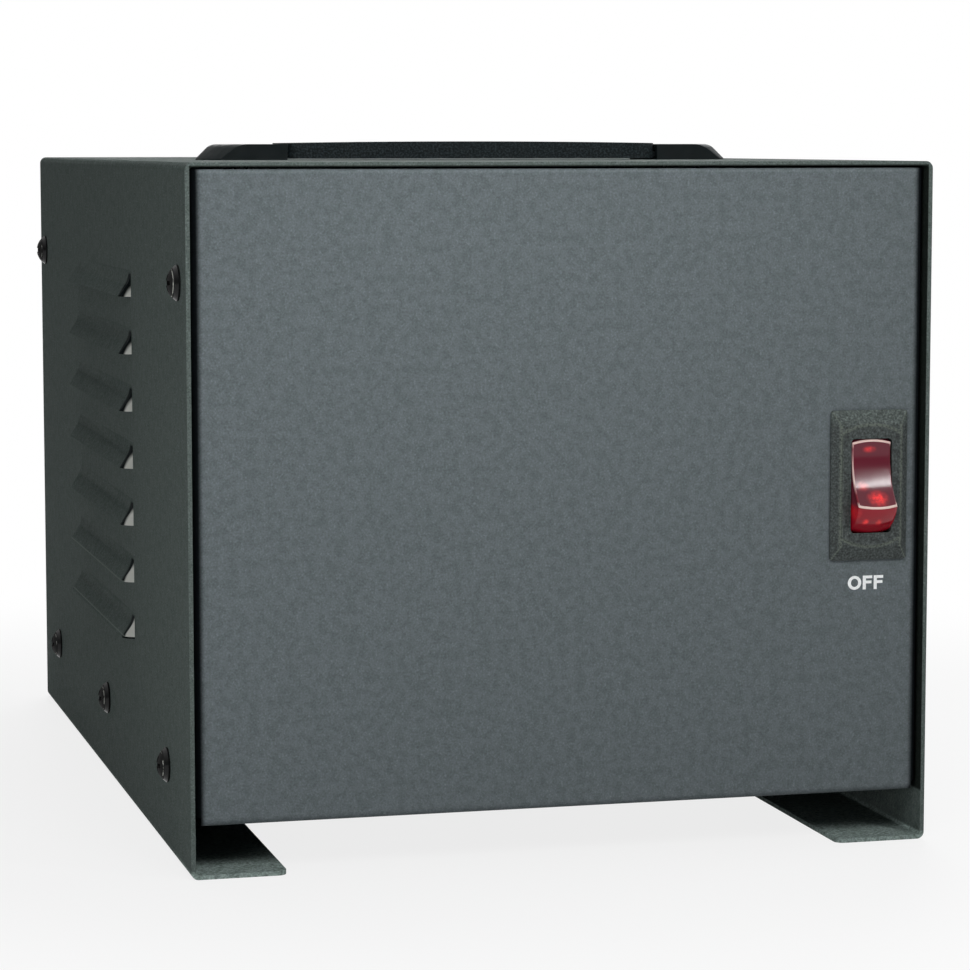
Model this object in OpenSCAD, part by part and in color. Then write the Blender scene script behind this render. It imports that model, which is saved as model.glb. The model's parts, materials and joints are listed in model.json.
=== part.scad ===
// Isolation transformer in a folded sheet case.
// Millimetres, +Z up, front panel towards -Y. The origin is on the table, under the middle of the case.

/* [Case] */
// Width over the cover's sides
case_w = 203; // [190:1:240]
// Depth of the cover from its front edge to its rear edge
case_d = 295; // [285:1:340]
// Height from the underside of the feet to the top
case_h = 185; // [180:1:215]
// Thickness of the folded sheet
sheet_t = 1.2; // [0.9:0.1:1.5]
// Inside radius of the folds
fold_r = 0.8; // [0.5:0.1:1.2]
// Width of each foot that the cover's sides turn in to
foot_w = 25.4; // [18:0.2:30]
// Corner radius of the feet, seen from above
foot_corner_r = 2.5; // [1:0.5:5]

/* [Chassis] */
// Height of the floor's underside above the table
floor_z = 13.4; // [11:0.2:18]
// How far the front and rear panels sit inside the cover's edges
panel_recess = 2.1; // [1:0.1:4]
// Gap between the cover and the chassis flanges
shell_gap = 0.4; // [0.3:0.1:0.6]
// Gap between the cover's top and the panels
panel_top_gap = 0.6; // [0.4:0.1:1.2]
// Depth of the chassis flanges that the side screws enter
flange_d = 17; // [15:0.5:22]
// Gap between two flanges that meet at a corner
corner_relief = 1.8; // [1:0.2:3]

/* [Side screws] */
// Distance of the side screws from the outer face of the panel or floor that carries their flange
screw_edge = 10.3; // [9:0.1:11]
// Distance of the upper side screws from the top of the case
screw_top_drop = 31; // [20:1:45]
// Spacing of the three lower side screws on each side
screw_low_pitch = 110.8; // [90:0.2:120]
// Diameter of the side screws
screw_d = 4.8; // [4:0.1:5]
// Length of the side screws under the head
screw_len = 8; // [7:0.5:12]
// Diameter of the screw heads
screw_head_d = 9.4; // [8:0.1:10.5]
// Height of the screw heads
screw_head_h = 3; // [2:0.1:3.5]

/* [Louvres] */
// Number of louvres in the column on each side
louvre_count = 7; // [3:1:8]
// Distance between one louvre and the next
louvre_pitch = 16.2; // [12:0.2:18]
// Length of a louvre along the side
louvre_len = 110; // [60:1:140]
// Height of a louvre from its lip to where it leaves the side
louvre_h = 7.4; // [6:0.2:9]
// How far a louvre's lip stands out from the side
louvre_out = 3.2; // [2.4:0.1:4]
// Length over which each end of a louvre swells out from the side
louvre_end_run = 4.2; // [4:0.1:8]
// Height of the lowest louvre's lip
louvre_low_z = 49.6; // [44:0.2:56]

/* [Handle] */
// Distance from the front edge to the middle of the handle and of the core below it
balance_y = 112; // [104:1:125]
// Length of the handle over its end caps
handle_len = 158.5; // [130:0.5:170]
// Width of the end caps
cap_w = 27; // [24:1:32]
// Length of each end cap
cap_len = 24; // [23:1:34]
// Height of the end caps
cap_h = 4.5; // [4.4:0.1:7]
// Width of the strap
strap_w = 22; // [18:1:24]
// Height of the grip's top above the case
grip_top = 5.3; // [5.2:0.1:8]
// Thickness of the grip
grip_t = 4.9; // [3:0.1:5]
// Diameter of the handle screws
handle_screw_d = 4.8; // [4:0.1:5.5]

/* [Rocker switch] */
// Distance from the cover's right side to the middle of the switch
switch_edge = 16.8; // [16:0.2:40]
// Height of the switch's middle
switch_z = 97.8; // [80:1:130]
// Width of the bezel
bezel_w = 21.8; // [21:0.1:24]
// Height of the bezel
bezel_h = 40.7; // [40:0.1:46]
// How far the bezel stands out from the panel
bezel_out = 2.8; // [2:0.1:3.5]
// Width of the bezel's bevels along its sides
bevel_side = 2.3; // [1:0.1:2.4]
// Width of the bezel's bevels at its top and bottom
bevel_end = 3.8; // [2:0.1:4]
// Width of the rocker
rocker_w = 11.1; // [10:0.1:11.5]
// Radius that the rocker's lips turn on
rocker_r = 14.6; // [14:0.1:15]
// Depth of the rocker's pivot behind the panel's face
pivot_depth = 4.9; // [4.5:0.1:5.2]
// Angle of the rocker to each side of its middle
rocker_tilt = 18; // [14:1:18]

/* [Core] */
// Width of the centre limb of the core
tongue_w = 50.8; // [40:0.2:52]
// Thickness of the stack of laminations
stack_d = 70; // [50:1:76]
// Number of packs that the stack is pressed from
pack_count = 14; // [6:1:20]
// Diameter of the core's through bolts
core_bolt_d = 5; // [4:0.2:6]

/* [Outlets] */
// Distance of the nearer outlet pair from the middle of the rear panel
outlet_first_x = 2; // [0:1:10]
// Spacing of the two outlet pairs
outlet_pitch = 56; // [45:1:66]
// Height of the outlets' middle above the middle of the rear panel
outlet_rise = 0; // [-6:1:6]
// Radius of the ground pin hole
ground_hole_r = 2.5; // [2.4:0.05:2.7]

/* [Supply] */
// Distance of the breaker and the cord bushing from the cover's side
supply_edge = 35.5; // [24:0.5:42]
// Height of the breaker
breaker_z = 92; // [85:1:130]
// Height of the cord bushing
bushing_z = 46; // [40:1:60]
// Radius of the bore that the supply cord passes through
cord_bore_r = 4.75; // [4:0.05:5.5]
// Travel of the reset button
button_travel = 3.5; // [2:0.1:4]

/* [Hidden] */
$fn = 48;
overrun = 1;

// Height of the notch where the panels' flanges end above the floor's fold
fold_relief = 0.5;

// Places that follow from the case
half_w = case_w / 2;
front_y = -case_d / 2;
rear_y = case_d / 2;
panel_y = front_y + panel_recess;
rear_panel_y = rear_y - panel_recess;
panel_top_z = case_h - sheet_t - panel_top_gap;
floor_top_z = floor_z + sheet_t;
fold_out_r = fold_r + sheet_t;
flange_x = half_w - sheet_t - shell_gap;
flange_in_x = flange_x - sheet_t;
core_y = front_y + balance_y;

// Lip of the rear panel on the chassis floor
rear_lip_d = 12;

// Louvres: the face leans out in a straight line and blends into the side in an arc above
blend_share = 0.78;
blend_r = blend_share * (pow(louvre_out, 2) + pow(louvre_h, 2)) / (2 * louvre_out);
lip_to_blend = sqrt(pow(blend_r - louvre_out, 2) + pow(louvre_h, 2));
louvre_lean = asin(blend_r / lip_to_blend) - atan((blend_r - louvre_out) / louvre_h);
louvre_face = sqrt(pow(lip_to_blend, 2) - pow(blend_r, 2));
louvre_end_r = (pow(louvre_end_run, 2) + pow(louvre_out, 2)) / (2 * louvre_out);

// Side screws and their nuts
screw_low_z = floor_z + screw_edge;
screw_rim_h = 0.5;
screw_clear = 0.2;
recess_w = 1.3;
recess_len_share = 0.5;
recess_depth_share = 0.55;
nut_d = 8;
nut_h = 3;
thread_gap = 0.1;
side_screw_points = [
    [panel_y + screw_edge, case_h - screw_top_drop],
    [rear_panel_y - screw_edge, case_h - screw_top_drop],
    [-screw_low_pitch, screw_low_z],
    [0, screw_low_z],
    [screw_low_pitch, screw_low_z]
];

// Handle
cap_end_share = 0.92;
cap_end_r = cap_end_share * cap_len;
cap_edge_h = 0.3;
cap_slope = cap_h - cap_edge_h;
cap_round = 4.2;
cap_end_wall = 3.7;
cap_floor_t = 0.6;
strap_t = 1.5;
strap_gap = 0.3;
strap_slot_len = 8;
strap_tail = 3;
strap_end_r = 7;
grip_corner_r = 3;
grip_edge_gap = 0.4;
grip_rise = 0.5;
grip_facet_count = 6;
handle_head_d = 8.6;
handle_head_h = 1.2;
handle_screw_len = 13;
handle_nut_w = 8;
handle_nut_h = 4;
washer_d = 11;
washer_t = 1;
handle_hole_x = (handle_len - cap_len) / 2;

// Rocker switch
switch_x = half_w - switch_edge;
pivot_y = panel_y + pivot_depth;
bezel_lip = 0.8;
bezel_frame_rise = 0.3;
bezel_frame_edge = 0.3;
bezel_arch_r = 16;
bezel_corner_r = 1;
opening_corner_r = 1;
housing_w = 18.4;
housing_h = 36.2;
housing_gap = 0.2;
rocker_gap = 0.3;
rocker_crown = 0.8;
rocker_wall = 1.4;
rocker_back = 3;
face_depth = 8.7;
face_curve_r = 18.8;
hub_r = 2.8;
pin_r = 1.5;
pin_gap = 0.05;
pin_out = 2;
stem_r = 2.3;
stem_len = 9;
plunger_r = 1.2;
plunger_reach = 12;
plunger_start = 4;
plunger_gap = 0.05;
chamber_h = 24;
chamber_w = 9;
chamber_back = 19.4;
housing_wall = 2;
clip_out = 0.9;
clip_len = 5;
clip_w = 7;
clip_gap = 0.3;
lamp_r = 1.8;
lamp_len = 7;
lamp_rise = 5.6;
lamp_shelf_t = 0.8;
lamp_y = 5.2;
contact_w = 5;
contact_t = 0.8;
contact_len = 18;
contact_y = 13.5;
contact_tilt = 8;
contact_tip_h = 0.8;
contact_tip_r = 1.5;
contact_pad_h = 1.2;
nose_r = 0.6;
nose_gap = 0.3;
tab_w = 6.3;
tab_t = 0.8;
tab_len = 8;
tab_pitch = 9;
tab_hole_d = 1.8;

// Core, from scrapless laminations: every size is a share of the centre limb's width
limb_w = tongue_w / 2;
window_w = tongue_w / 2;
window_h = tongue_w * 1.5;
lam_w = tongue_w * 3;
e_h = window_h + limb_w;
foot_t = 2.5;
foot_leg_margin = 4;
foot_leg_h = limb_w - foot_leg_margin;
foot_tread = 19;
foot_fold_r = 2;
core_rear_y = core_y + stack_d / 2 + foot_t + foot_tread;
core_z = floor_top_z + foot_t;
core_h = e_h + limb_w;
pack_groove = 0.4;
core_bolt_inset = 9;
core_bolt_clear = 0.3;
core_nut_w = 8;
core_nut_h = 4;
core_head_h = 3.5;
clamp_t = 3;
floor_bolt_d = 5;
floor_bolt_inset = 16;
floor_bolt_x = lam_w / 2 - floor_bolt_inset;
bolt_tail = 2;
floor_head_h = 3;
floor_bolt_clear = 0.25;
coil_z = core_z + limb_w;

// Coil, in layers from the limb outwards
bobbin_gap = 0.5;
bobbin_wall = 1.6;
bobbin_flange_t = 1.6;
layer_gap = 0.1;
wrap_t = 1;
screen_t = 0.6;
coil_margin = 3.2;
coil_room = window_w - coil_margin - bobbin_gap - bobbin_wall - screen_t - wrap_t - 4 * layer_gap;
winding_t = coil_room / 2;
turn_count = 20;
turn_depth = 0.5;
wrap_h_share = 0.8;

// Outlets
face_r = 17.1;
face_h = 28.6;
face_pitch = 38.9;
face_out = 1;
face_gap = 0.25;
outlet_w = 33;
outlet_h = 72;
outlet_depth = 24;
outlet_corner_r = 3;
outlet_strap_w = 19;
outlet_strap_t = 1.2;
outlet_ear = 17;
outlet_screw_pitch = 83.3;
outlet_screw_d = 3.5;
outlet_screw_head_d = 6.8;
outlet_screw_head_h = 1.9;
outlet_screw_len = 8;
slot_pitch = 12.7;
slot_rise = 4;
hot_h = 6.6;
neutral_h = 8.4;
slot_w = 2.2;
slot_depth = 14;
ground_drop = 11.9;
clip_leaf_t = 0.5;
contact_depth = 6;
outlet_z = (floor_z + panel_top_z) / 2 + outlet_rise;
outlet_xs = [outlet_first_x, outlet_first_x + outlet_pitch];

// Breaker and bushing
supply_x = half_w - supply_edge;
neck_r = 5.5;
neck_out = 5.6;
neck_gap = 0.2;
breaker_w = 15;
breaker_h = 34;
breaker_depth = 30;
ring_nut_w = 15;
ring_nut_h = 3;
button_r = 3.2;
button_gap = 0.15;
button_out = 2.6;
button_grip = 5.5;
button_stem_len = button_travel + button_grip;
button_edge_r = 0.8;
neck_floor = 3;
bushing_r = 8;
bushing_head_r = 10.5;
bushing_head_t = 2;
bushing_gap = 0.2;
bushing_back_t = 2;
bushing_back_r = 9.2;
bushing_back_len = 6;
bushing_mouth = 1;
bushing_lead = 0.2;

// Filter board
board_w = 90;
board_d = 58;
board_t = 1.6;
board_clear = 3;
board_y = core_rear_y + board_clear + board_d / 2;
board_gap = 8;
board_hole_inset = 5;
board_screw_d = 3;
standoff_w = 6;
board_head_h = 2.1;
standoff_hole_clear = 0.1;
cap_block_w = 26;
cap_block_d = 11;
cap_block_h = 19;
cap_block_r = 1;
cap_block_pitch = 16.5;
varistor_r = 8;
varistor_t = 4.6;
varistor_lift = 1.5;
varistor_inset = 12;
varistor_count = 3;
lead_d = 0.8;
choke_ring_r = 11;
choke_wire_r = 4.5;
stud_d = 5;
stud_len = 16;
stud_inset = 31.5;
stud_x = half_w - stud_inset;
stud_clear = 12;
stud_y = core_rear_y + stud_clear;
stud_nut_w = 8;
stud_nut_h = 4;

// Helpers
module round_rect(w, h, r) {
    square([w - 2 * r, h], center = true);
    square([w, h - 2 * r], center = true);
    for (sx = [-1, 1], sy = [-1, 1])
        translate([sx * (w / 2 - r), sy * (h / 2 - r)]) circle(r);
}

module block(size) {
    translate([-size[0] / 2, -size[1] / 2, 0]) cube(size);
}

// Profiles drawn in X and Z are extruded along Y, and profiles in Y and Z along X
module along_y(length) {
    translate([0, length / 2, 0]) rotate([90, 0, 0]) linear_extrude(length) children();
}

module along_x(length) {
    translate([-length / 2, 0, 0]) rotate([90, 0, 90]) linear_extrude(length) children();
}

module both_sides() {
    children();
    mirror([1, 0, 0]) children();
}

module at_side_screws(x) {
    for (side = [-1, 1], p = side_screw_points)
        translate([side * x, p[0], p[1]]) rotate([0, side * 90, 0]) children();
}

// A domed screw head on the plane z = 0, with a cross recess
module domed_head(d, h) {
    dome_h = h - screw_rim_h;
    dome_r = (d * d / 4 + dome_h * dome_h) / (2 * dome_h);
    difference() {
        rotate_extrude() intersection() {
            translate([0, h - dome_r]) circle(dome_r);
            square([d / 2, h]);
        }
        for (a = [0, 90])
            rotate(a) translate([0, 0, h * (1 - recess_depth_share)])
                block([recess_w, d * recess_len_share, h]);
    }
}

module domed_screw(d, length, head_d, head_h) {
    domed_head(head_d, head_h);
    translate([0, 0, -length]) cylinder(d = d, h = length + screw_rim_h);
}

module hex_nut(across, h, bore_d) {
    difference() {
        cylinder(d = across / cos(30), h = h, $fn = 6);
        translate([0, 0, -overrun]) cylinder(d = bore_d, h = h + 2 * overrun);
    }
}

// Cover
module cover_profile() {
    difference() {
        translate([0, case_h / 2]) round_rect(case_w, case_h, fold_out_r);
        translate([0, case_h / 2]) round_rect(case_w - 2 * sheet_t, case_h - 2 * sheet_t, fold_r);
        translate([-half_w + foot_w, -overrun]) square([case_w - 2 * foot_w, floor_z]);
    }
}

module foot_corner_cut() {
    difference() {
        translate([-foot_corner_r, -foot_corner_r, -overrun])
            cube([foot_corner_r + overrun, foot_corner_r + overrun, sheet_t + 2 * overrun]);
        translate([-foot_corner_r, -foot_corner_r, -2 * overrun])
            cylinder(r = foot_corner_r, h = sheet_t + 4 * overrun);
    }
}

// Louvre on the right side, drawn with its lip at z = 0; seen from above, its ends swell out in arcs
module louvre_shape(inset) {
    intersection() {
        children();
        translate([half_w + louvre_out - louvre_end_r, 0, -overrun])
            linear_extrude(louvre_h + 2 * overrun) {
                square([2 * (louvre_end_r - inset), louvre_len - 2 * louvre_end_run], center = true);
                for (end = [-1, 1]) translate([0, end * (louvre_len / 2 - louvre_end_run)])
                    circle(louvre_end_r - inset);
            }
    }
}

module louvre_hood() {
    louvre_shape(0) along_y(louvre_len) translate([half_w, 0]) difference() {
        polygon([
            [-sheet_t / 2, 0],
            [louvre_out, 0],
            [louvre_out - louvre_face * sin(louvre_lean), louvre_face * cos(louvre_lean)],
            [0, louvre_h],
            [-sheet_t / 2, louvre_h]
        ]);
        translate([blend_r, louvre_h]) circle(blend_r, $fn = 120);
    }
}

module louvre_hollow() {
    inner_x = -sheet_t - overrun;
    lip_x = louvre_out - sheet_t / cos(louvre_lean);
    louvre_shape(sheet_t) along_y(louvre_len) translate([half_w, 0]) polygon([
        [inner_x, -shell_gap],
        [lip_x + shell_gap * tan(louvre_lean), -shell_gap],
        [inner_x, (lip_x - inner_x) / tan(louvre_lean)]
    ]);
}

module at_louvres() {
    for (i = [0 : louvre_count - 1]) translate([0, 0, louvre_low_z + i * louvre_pitch]) children();
}

module cover() color("#3c4143") {
    difference() {
        union() {
            along_y(case_d) cover_profile();
            both_sides() at_louvres() louvre_hood();
        }
        both_sides() at_louvres() louvre_hollow();
        at_side_screws(half_w)
            translate([0, 0, -sheet_t - overrun])
                cylinder(d = screw_d + 2 * screw_clear, h = sheet_t + 2 * overrun);
        for (side = [-1, 1]) translate([side * handle_hole_x, core_y, case_h - sheet_t - overrun])
            cylinder(d = handle_screw_d + 2 * screw_clear, h = sheet_t + 2 * overrun);
        for (sx = [-1, 1], sy = [-1, 1]) scale([-sx, sy, 1])
            translate([half_w - foot_w, rear_y, 0]) scale([-1, 1, 1]) foot_corner_cut();
    }
}

// An L with its corner fold at the origin, one leg along +X and one leg along +Y
module fold_profile(leg_a, leg_b) {
    difference() {
        union() {
            translate([fold_out_r, 0]) square([leg_a - fold_out_r, sheet_t]);
            translate([0, fold_out_r]) square([sheet_t, leg_b - fold_out_r]);
            intersection() {
                translate([fold_out_r, fold_out_r]) circle(fold_out_r);
                square(fold_out_r);
            }
        }
        translate([fold_out_r, fold_out_r]) circle(fold_r);
    }
}

// A side flange of the panel whose outer face is at y, above the fold at base_z
module panel_flange(y, turn, base_z) {
    low_z = base_z + fold_out_r + fold_relief;
    translate([flange_x, y, low_z])
        mirror([1, 0, 0]) scale([1, turn, 1]) linear_extrude(panel_top_z - low_z)
            fold_profile(2 * fold_out_r, flange_d);
}

module floor_flange() {
    length = case_d - 2 * (panel_recess + flange_d + corner_relief);
    along_y(length) translate([flange_x, floor_z])
        mirror([1, 0]) fold_profile(2 * fold_out_r, flange_d);
}

module side_screw_holes() {
    at_side_screws(flange_x) translate([0, 0, -sheet_t - overrun])
        cylinder(d = screw_d + 2 * screw_clear, h = sheet_t + 2 * overrun);
}

// Chassis: the floor and the front panel are one folded strip with side flanges
module chassis() color("#4b5258") {
    difference() {
        union() {
            along_x(2 * (flange_x - fold_out_r) + overrun) translate([panel_y, floor_z])
                fold_profile(rear_panel_y - panel_y, panel_top_z - floor_z);
            both_sides() {
                panel_flange(panel_y, 1, floor_z);
                floor_flange();
            }
        }
        side_screw_holes();
        translate([switch_x, panel_y, switch_z])
            along_y(2 * (sheet_t + overrun))
                square([housing_w + 2 * housing_gap, housing_h + 2 * housing_gap], center = true);
        at_floor_bolts() cylinder(
            d = floor_bolt_d + 2 * floor_bolt_clear, h = 2 * (sheet_t + overrun), center = true);
        at_board_corners() cylinder(
            d = board_screw_d + 2 * standoff_hole_clear, h = 2 * (sheet_t + overrun), center = true);
        translate([stud_x, stud_y, floor_top_z]) cylinder(
            d = stud_d + 2 * screw_clear, h = 2 * (sheet_t + overrun), center = true);
    }
}

// Rear panel: its lip lies on the chassis floor, where it is spot welded
module rear_panel() color("#4b5258") {
    difference() {
        union() {
            along_x(2 * (flange_x - fold_out_r) + overrun) translate([rear_panel_y, floor_top_z])
                mirror([1, 0]) fold_profile(rear_lip_d, panel_top_z - floor_top_z);
            both_sides() panel_flange(rear_panel_y, -1, floor_top_z);
        }
        side_screw_holes();
        for (x = outlet_xs) translate([x, rear_panel_y, outlet_z]) outlet_cutout();
        translate([-supply_x, rear_panel_y, breaker_z]) rotate([90, 0, 0])
            cylinder(r = neck_r + neck_gap, h = 2 * (sheet_t + overrun), center = true);
        translate([-supply_x, rear_panel_y, bushing_z]) rotate([90, 0, 0])
            cylinder(r = bushing_r + bushing_gap, h = 2 * (sheet_t + overrun), center = true);
    }
}

module outlet_cutout() {
    along_y(2 * (sheet_t + overrun)) {
        for (end = [-1, 1]) translate([0, end * face_pitch / 2]) intersection() {
            circle(face_r + face_gap);
            square([4 * face_r, face_h + 2 * face_gap], center = true);
        }
        for (end = [-1, 1]) translate([0, end * outlet_screw_pitch / 2])
            circle(d = outlet_screw_d + 2 * screw_clear);
    }
}

module side_screws() color("#101112") {
    at_side_screws(half_w) domed_screw(screw_d, screw_len, screw_head_d, screw_head_h);
}

module clinch_nuts() color("#b9bcc0") {
    at_side_screws(flange_in_x) translate([0, 0, -nut_h]) difference() {
        cylinder(d = nut_d, h = nut_h);
        translate([0, 0, -overrun]) cylinder(d = screw_d + 2 * thread_gap, h = nut_h + 2 * overrun);
    }
}

// Handle
module at_handle_ends() {
    for (side = [-1, 1]) translate([0, core_y, case_h]) scale([side, 1, 1])
        translate([handle_hole_x, 0, 0]) children();
}

// Half of a cap's end seen from the side: it slopes up at 45 degrees and blends into the flat top
module cap_end_profile() {
    crest = cap_end_r - cap_slope - cap_round * tan(22.5);
    blend = cap_round * sin(45);
    square([crest, cap_h]);
    intersection() {
        translate([crest, cap_h - cap_round]) circle(cap_round);
        translate([crest - overrun, 0]) square([blend + overrun, cap_h]);
    }
    polygon([
        [crest - overrun, 0], [cap_end_r, 0], [cap_end_r, cap_edge_h],
        [crest + blend, cap_h - cap_round + blend], [crest - overrun, cap_h - cap_round + blend]
    ]);
}

module cap_end_dome() {
    translate([cap_len / 2 - cap_end_r, 0, 0]) children();
}

module handle_end_caps() color("#17191a") {
    mouth_h = strap_t + 2 * strap_gap;
    at_handle_ends() difference() {
        intersection() {
            cap_end_dome() rotate_extrude($fn = 96) cap_end_profile();
            block([cap_len, cap_w, cap_h]);
        }
        translate([0, 0, cap_floor_t]) intersection() {
            translate([-overrun, 0, 0]) block([cap_len, strap_w + 2 * strap_gap, mouth_h]);
            cap_end_dome() cylinder(r = cap_end_r - cap_end_wall, h = mouth_h);
        }
        translate([0, 0, -overrun])
            cylinder(d = handle_screw_d + 2 * screw_clear, h = cap_h + 2 * overrun);
        translate([0, 0, cap_h - handle_head_h])
            cylinder(d = handle_head_d + 2 * screw_clear, h = cap_h);
    }
}

module handle_strap() color("#1b1d1e") {
    grip_len = handle_len - 2 * (cap_len + strap_gap);
    reach = 2 * handle_hole_x + strap_slot_len + 2 * strap_tail;
    translate([0, core_y, case_h]) difference() {
        union() {
            translate([0, 0, cap_floor_t + strap_gap]) linear_extrude(strap_t)
                round_rect(reach, strap_w, strap_end_r);
            grip_body(grip_len);
        }
        for (side = [-1, 1]) translate([side * handle_hole_x, 0, 0]) linear_extrude(grip_top)
            round_rect(strap_slot_len, handle_screw_d + 2 * screw_clear, handle_screw_d / 2);
    }
}

// The grip is thicker than the strap, and its top is slightly arched
module grip_body(length) {
    top = [for (i = [-grip_facet_count : grip_facet_count])
        [i / grip_facet_count * length / 2, grip_top - grip_rise * pow(i / grip_facet_count, 2)]];
    foot = grip_top - grip_t;
    intersection() {
        along_y(cap_w) polygon(concat(top, [[length / 2, foot], [-length / 2, foot]]));
        linear_extrude(grip_top) round_rect(length, cap_w - 2 * grip_edge_gap, grip_corner_r);
    }
}

module handle_screws() color("#202224") {
    at_handle_ends() translate([0, 0, cap_h - handle_head_h])
        domed_screw(handle_screw_d, handle_screw_len, handle_head_d, handle_head_h);
}

module handle_nuts() color("#b9bcc0") {
    at_handle_ends() translate([0, 0, -sheet_t - washer_t]) {
        difference() {
            cylinder(d = washer_d, h = washer_t);
            translate([0, 0, -overrun])
                cylinder(d = handle_screw_d + 2 * thread_gap, h = washer_t + 2 * overrun);
        }
        translate([0, 0, -handle_nut_h])
            hex_nut(handle_nut_w, handle_nut_h, handle_screw_d + 2 * thread_gap);
    }
}

// Rocker switch, drawn round its pivot
module at_pivot() {
    translate([switch_x, pivot_y, switch_z]) children();
}

// A bevelled block, and on it a thin flat frame with arched ends
module bezel_shape() {
    face = -pivot_depth;
    tip = face - bezel_out + bezel_frame_rise;
    lip = face - bezel_lip;
    intersection() {
        along_x(bezel_w) polygon([
            [face, -bezel_h / 2], [lip, -bezel_h / 2], [tip, -bezel_h / 2 + bevel_end],
            [tip, bezel_h / 2 - bevel_end], [lip, bezel_h / 2], [face, bezel_h / 2]
        ]);
        translate([0, 0, -bezel_h / 2]) linear_extrude(bezel_h) polygon([
            [-bezel_w / 2, face], [-bezel_w / 2, lip], [-bezel_w / 2 + bevel_side, tip],
            [bezel_w / 2 - bevel_side, tip], [bezel_w / 2, lip], [bezel_w / 2, face]
        ]);
        along_y(2 * rocker_r) round_rect(bezel_w, bezel_h, bezel_corner_r);
    }
    translate([0, face - bezel_out, 0]) rotate([-90, 0, 0])
        linear_extrude(bezel_out) bezel_frame_outline();
}

module bezel_frame_outline() {
    w = bezel_w - 2 * (bevel_side + bezel_frame_edge);
    h = bezel_h - 2 * (bevel_end + bezel_frame_edge);
    intersection() {
        square([w, h], center = true);
        for (end = [-1, 1]) translate([0, end * (h / 2 - bezel_arch_r)]) circle(bezel_arch_r);
    }
}

module switch_housing() color("#1d1f20") {
    body_back = chamber_back + housing_wall;
    tab_y = body_back - housing_wall - overrun;
    at_pivot() difference() {
        union() {
            bezel_shape();
            translate([-housing_w / 2, -pivot_depth - overrun / 2, -housing_h / 2])
                cube([housing_w, body_back + pivot_depth + overrun / 2, housing_h]);
            for (end = [-1, 1]) scale([1, 1, end]) switch_clip();
        }
        rocker_opening(rocker_r + rocker_gap, rocker_w + 2 * rocker_gap);
        translate([-chamber_w / 2, 0, -chamber_h / 2]) cube([chamber_w, chamber_back, chamber_h]);
        along_x(rocker_w + 2 * (pin_out + rocker_gap)) circle(pin_r + pin_gap);
        for (i = [-1 : 1]) translate([-tab_w / 2 - pin_gap, tab_y, i * tab_pitch - tab_t / 2 - pin_gap])
            cube([tab_w + 2 * pin_gap, housing_wall + 2 * overrun, tab_t + 2 * pin_gap]);
    }
}

// A round hollow about the X axis with rounded rims
module rocker_opening(r, w) {
    rotate([0, 90, 0]) rotate_extrude() intersection() {
        round_rect(2 * r, w, opening_corner_r);
        translate([0, -w / 2]) square([r, w]);
    }
}

// A wedge on the housing's end that snaps behind the panel
module switch_clip() {
    start = -pivot_depth + sheet_t + clip_gap;
    along_x(clip_w) polygon([
        [start, housing_h / 2 - overrun], [start, housing_h / 2 + clip_out],
        [start + clip_len, housing_h / 2], [start + clip_len, housing_h / 2 - overrun]
    ]);
}

// A barrel about the X axis, fullest at the middle of the rocker's width
module rocker_barrel(r, w) {
    crown_r = (w * w / 4 + rocker_crown * rocker_crown) / (2 * rocker_crown);
    rotate([0, 90, 0]) rotate_extrude() intersection() {
        translate([r - crown_r, 0]) circle(crown_r, $fn = 180);
        translate([0, -w / 2]) square([r, w]);
    }
}

module rocker_face_cut(depth) {
    along_x(rocker_w + 2 * overrun) translate([-depth - face_curve_r, 0]) circle(face_curve_r, $fn = 120);
}

module rocker_frame() {
    at_pivot() rotate([-rocker_tilt, 0, 0]) children();
}

module rocker() color("#b01722") {
    inner_w = rocker_w - 2 * rocker_wall;
    shelf_z = lamp_rise - lamp_r - lamp_shelf_t;
    rocker_frame() difference() {
        union() {
            difference() {
                rocker_barrel(rocker_r, rocker_w);
                rocker_face_cut(face_depth);
                translate([-rocker_w, rocker_back, -rocker_r])
                    cube([2 * rocker_w, rocker_r, 2 * rocker_r]);
                difference() {
                    along_x(inner_w) circle(rocker_r - rocker_wall - rocker_crown);
                    along_x(inner_w + overrun)
                        translate([-face_depth - face_curve_r, 0])
                            circle(face_curve_r + rocker_wall, $fn = 120);
                }
            }
            along_x(rocker_w + 2 * pin_out) circle(pin_r);
            along_x(inner_w + overrun) circle(hub_r);
            rotate([-90, 0, 0]) cylinder(r = stem_r, h = stem_len);
            translate([-inner_w / 2 - overrun / 2, -lamp_y - lamp_r, shelf_z])
                cube([inner_w + overrun, lamp_y + lamp_r, lamp_shelf_t]);
        }
        rotate([-90, 0, 0]) translate([0, 0, plunger_start])
            cylinder(r = plunger_r + plunger_gap, h = stem_len);
    }
}

module rocker_plunger() color("#c9a24a") {
    rocker_frame() rotate([-90, 0, 0]) {
        translate([0, 0, plunger_start]) cylinder(r = plunger_r, h = plunger_reach - plunger_start);
        translate([0, 0, plunger_reach]) sphere(plunger_r);
    }
}

module neon_lamp() color("#ff7a3c") {
    rocker_frame() translate([0, -lamp_y, lamp_rise]) rotate([0, 90, 0]) {
        translate([0, 0, -lamp_len / 2]) cylinder(r = lamp_r, h = lamp_len - lamp_r);
        translate([0, 0, lamp_len / 2 - lamp_r]) sphere(lamp_r);
    }
}

module switch_contact() color("#c07a43") {
    at_pivot() translate([0, contact_y + contact_t, 0]) rotate([contact_tilt, 0, 0]) difference() {
        union() {
            translate([-contact_w / 2, -contact_t, -contact_len / 2])
                cube([contact_w, contact_t, contact_len]);
            for (end = [-1, 1]) translate([0, 0, end * (contact_len / 2 - contact_tip_r)])
                rotate([-90, 0, 0]) cylinder(r = contact_tip_r, h = contact_tip_h);
        }
        along_x(contact_w + 2 * overrun) circle(nose_r);
    }
}

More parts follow.
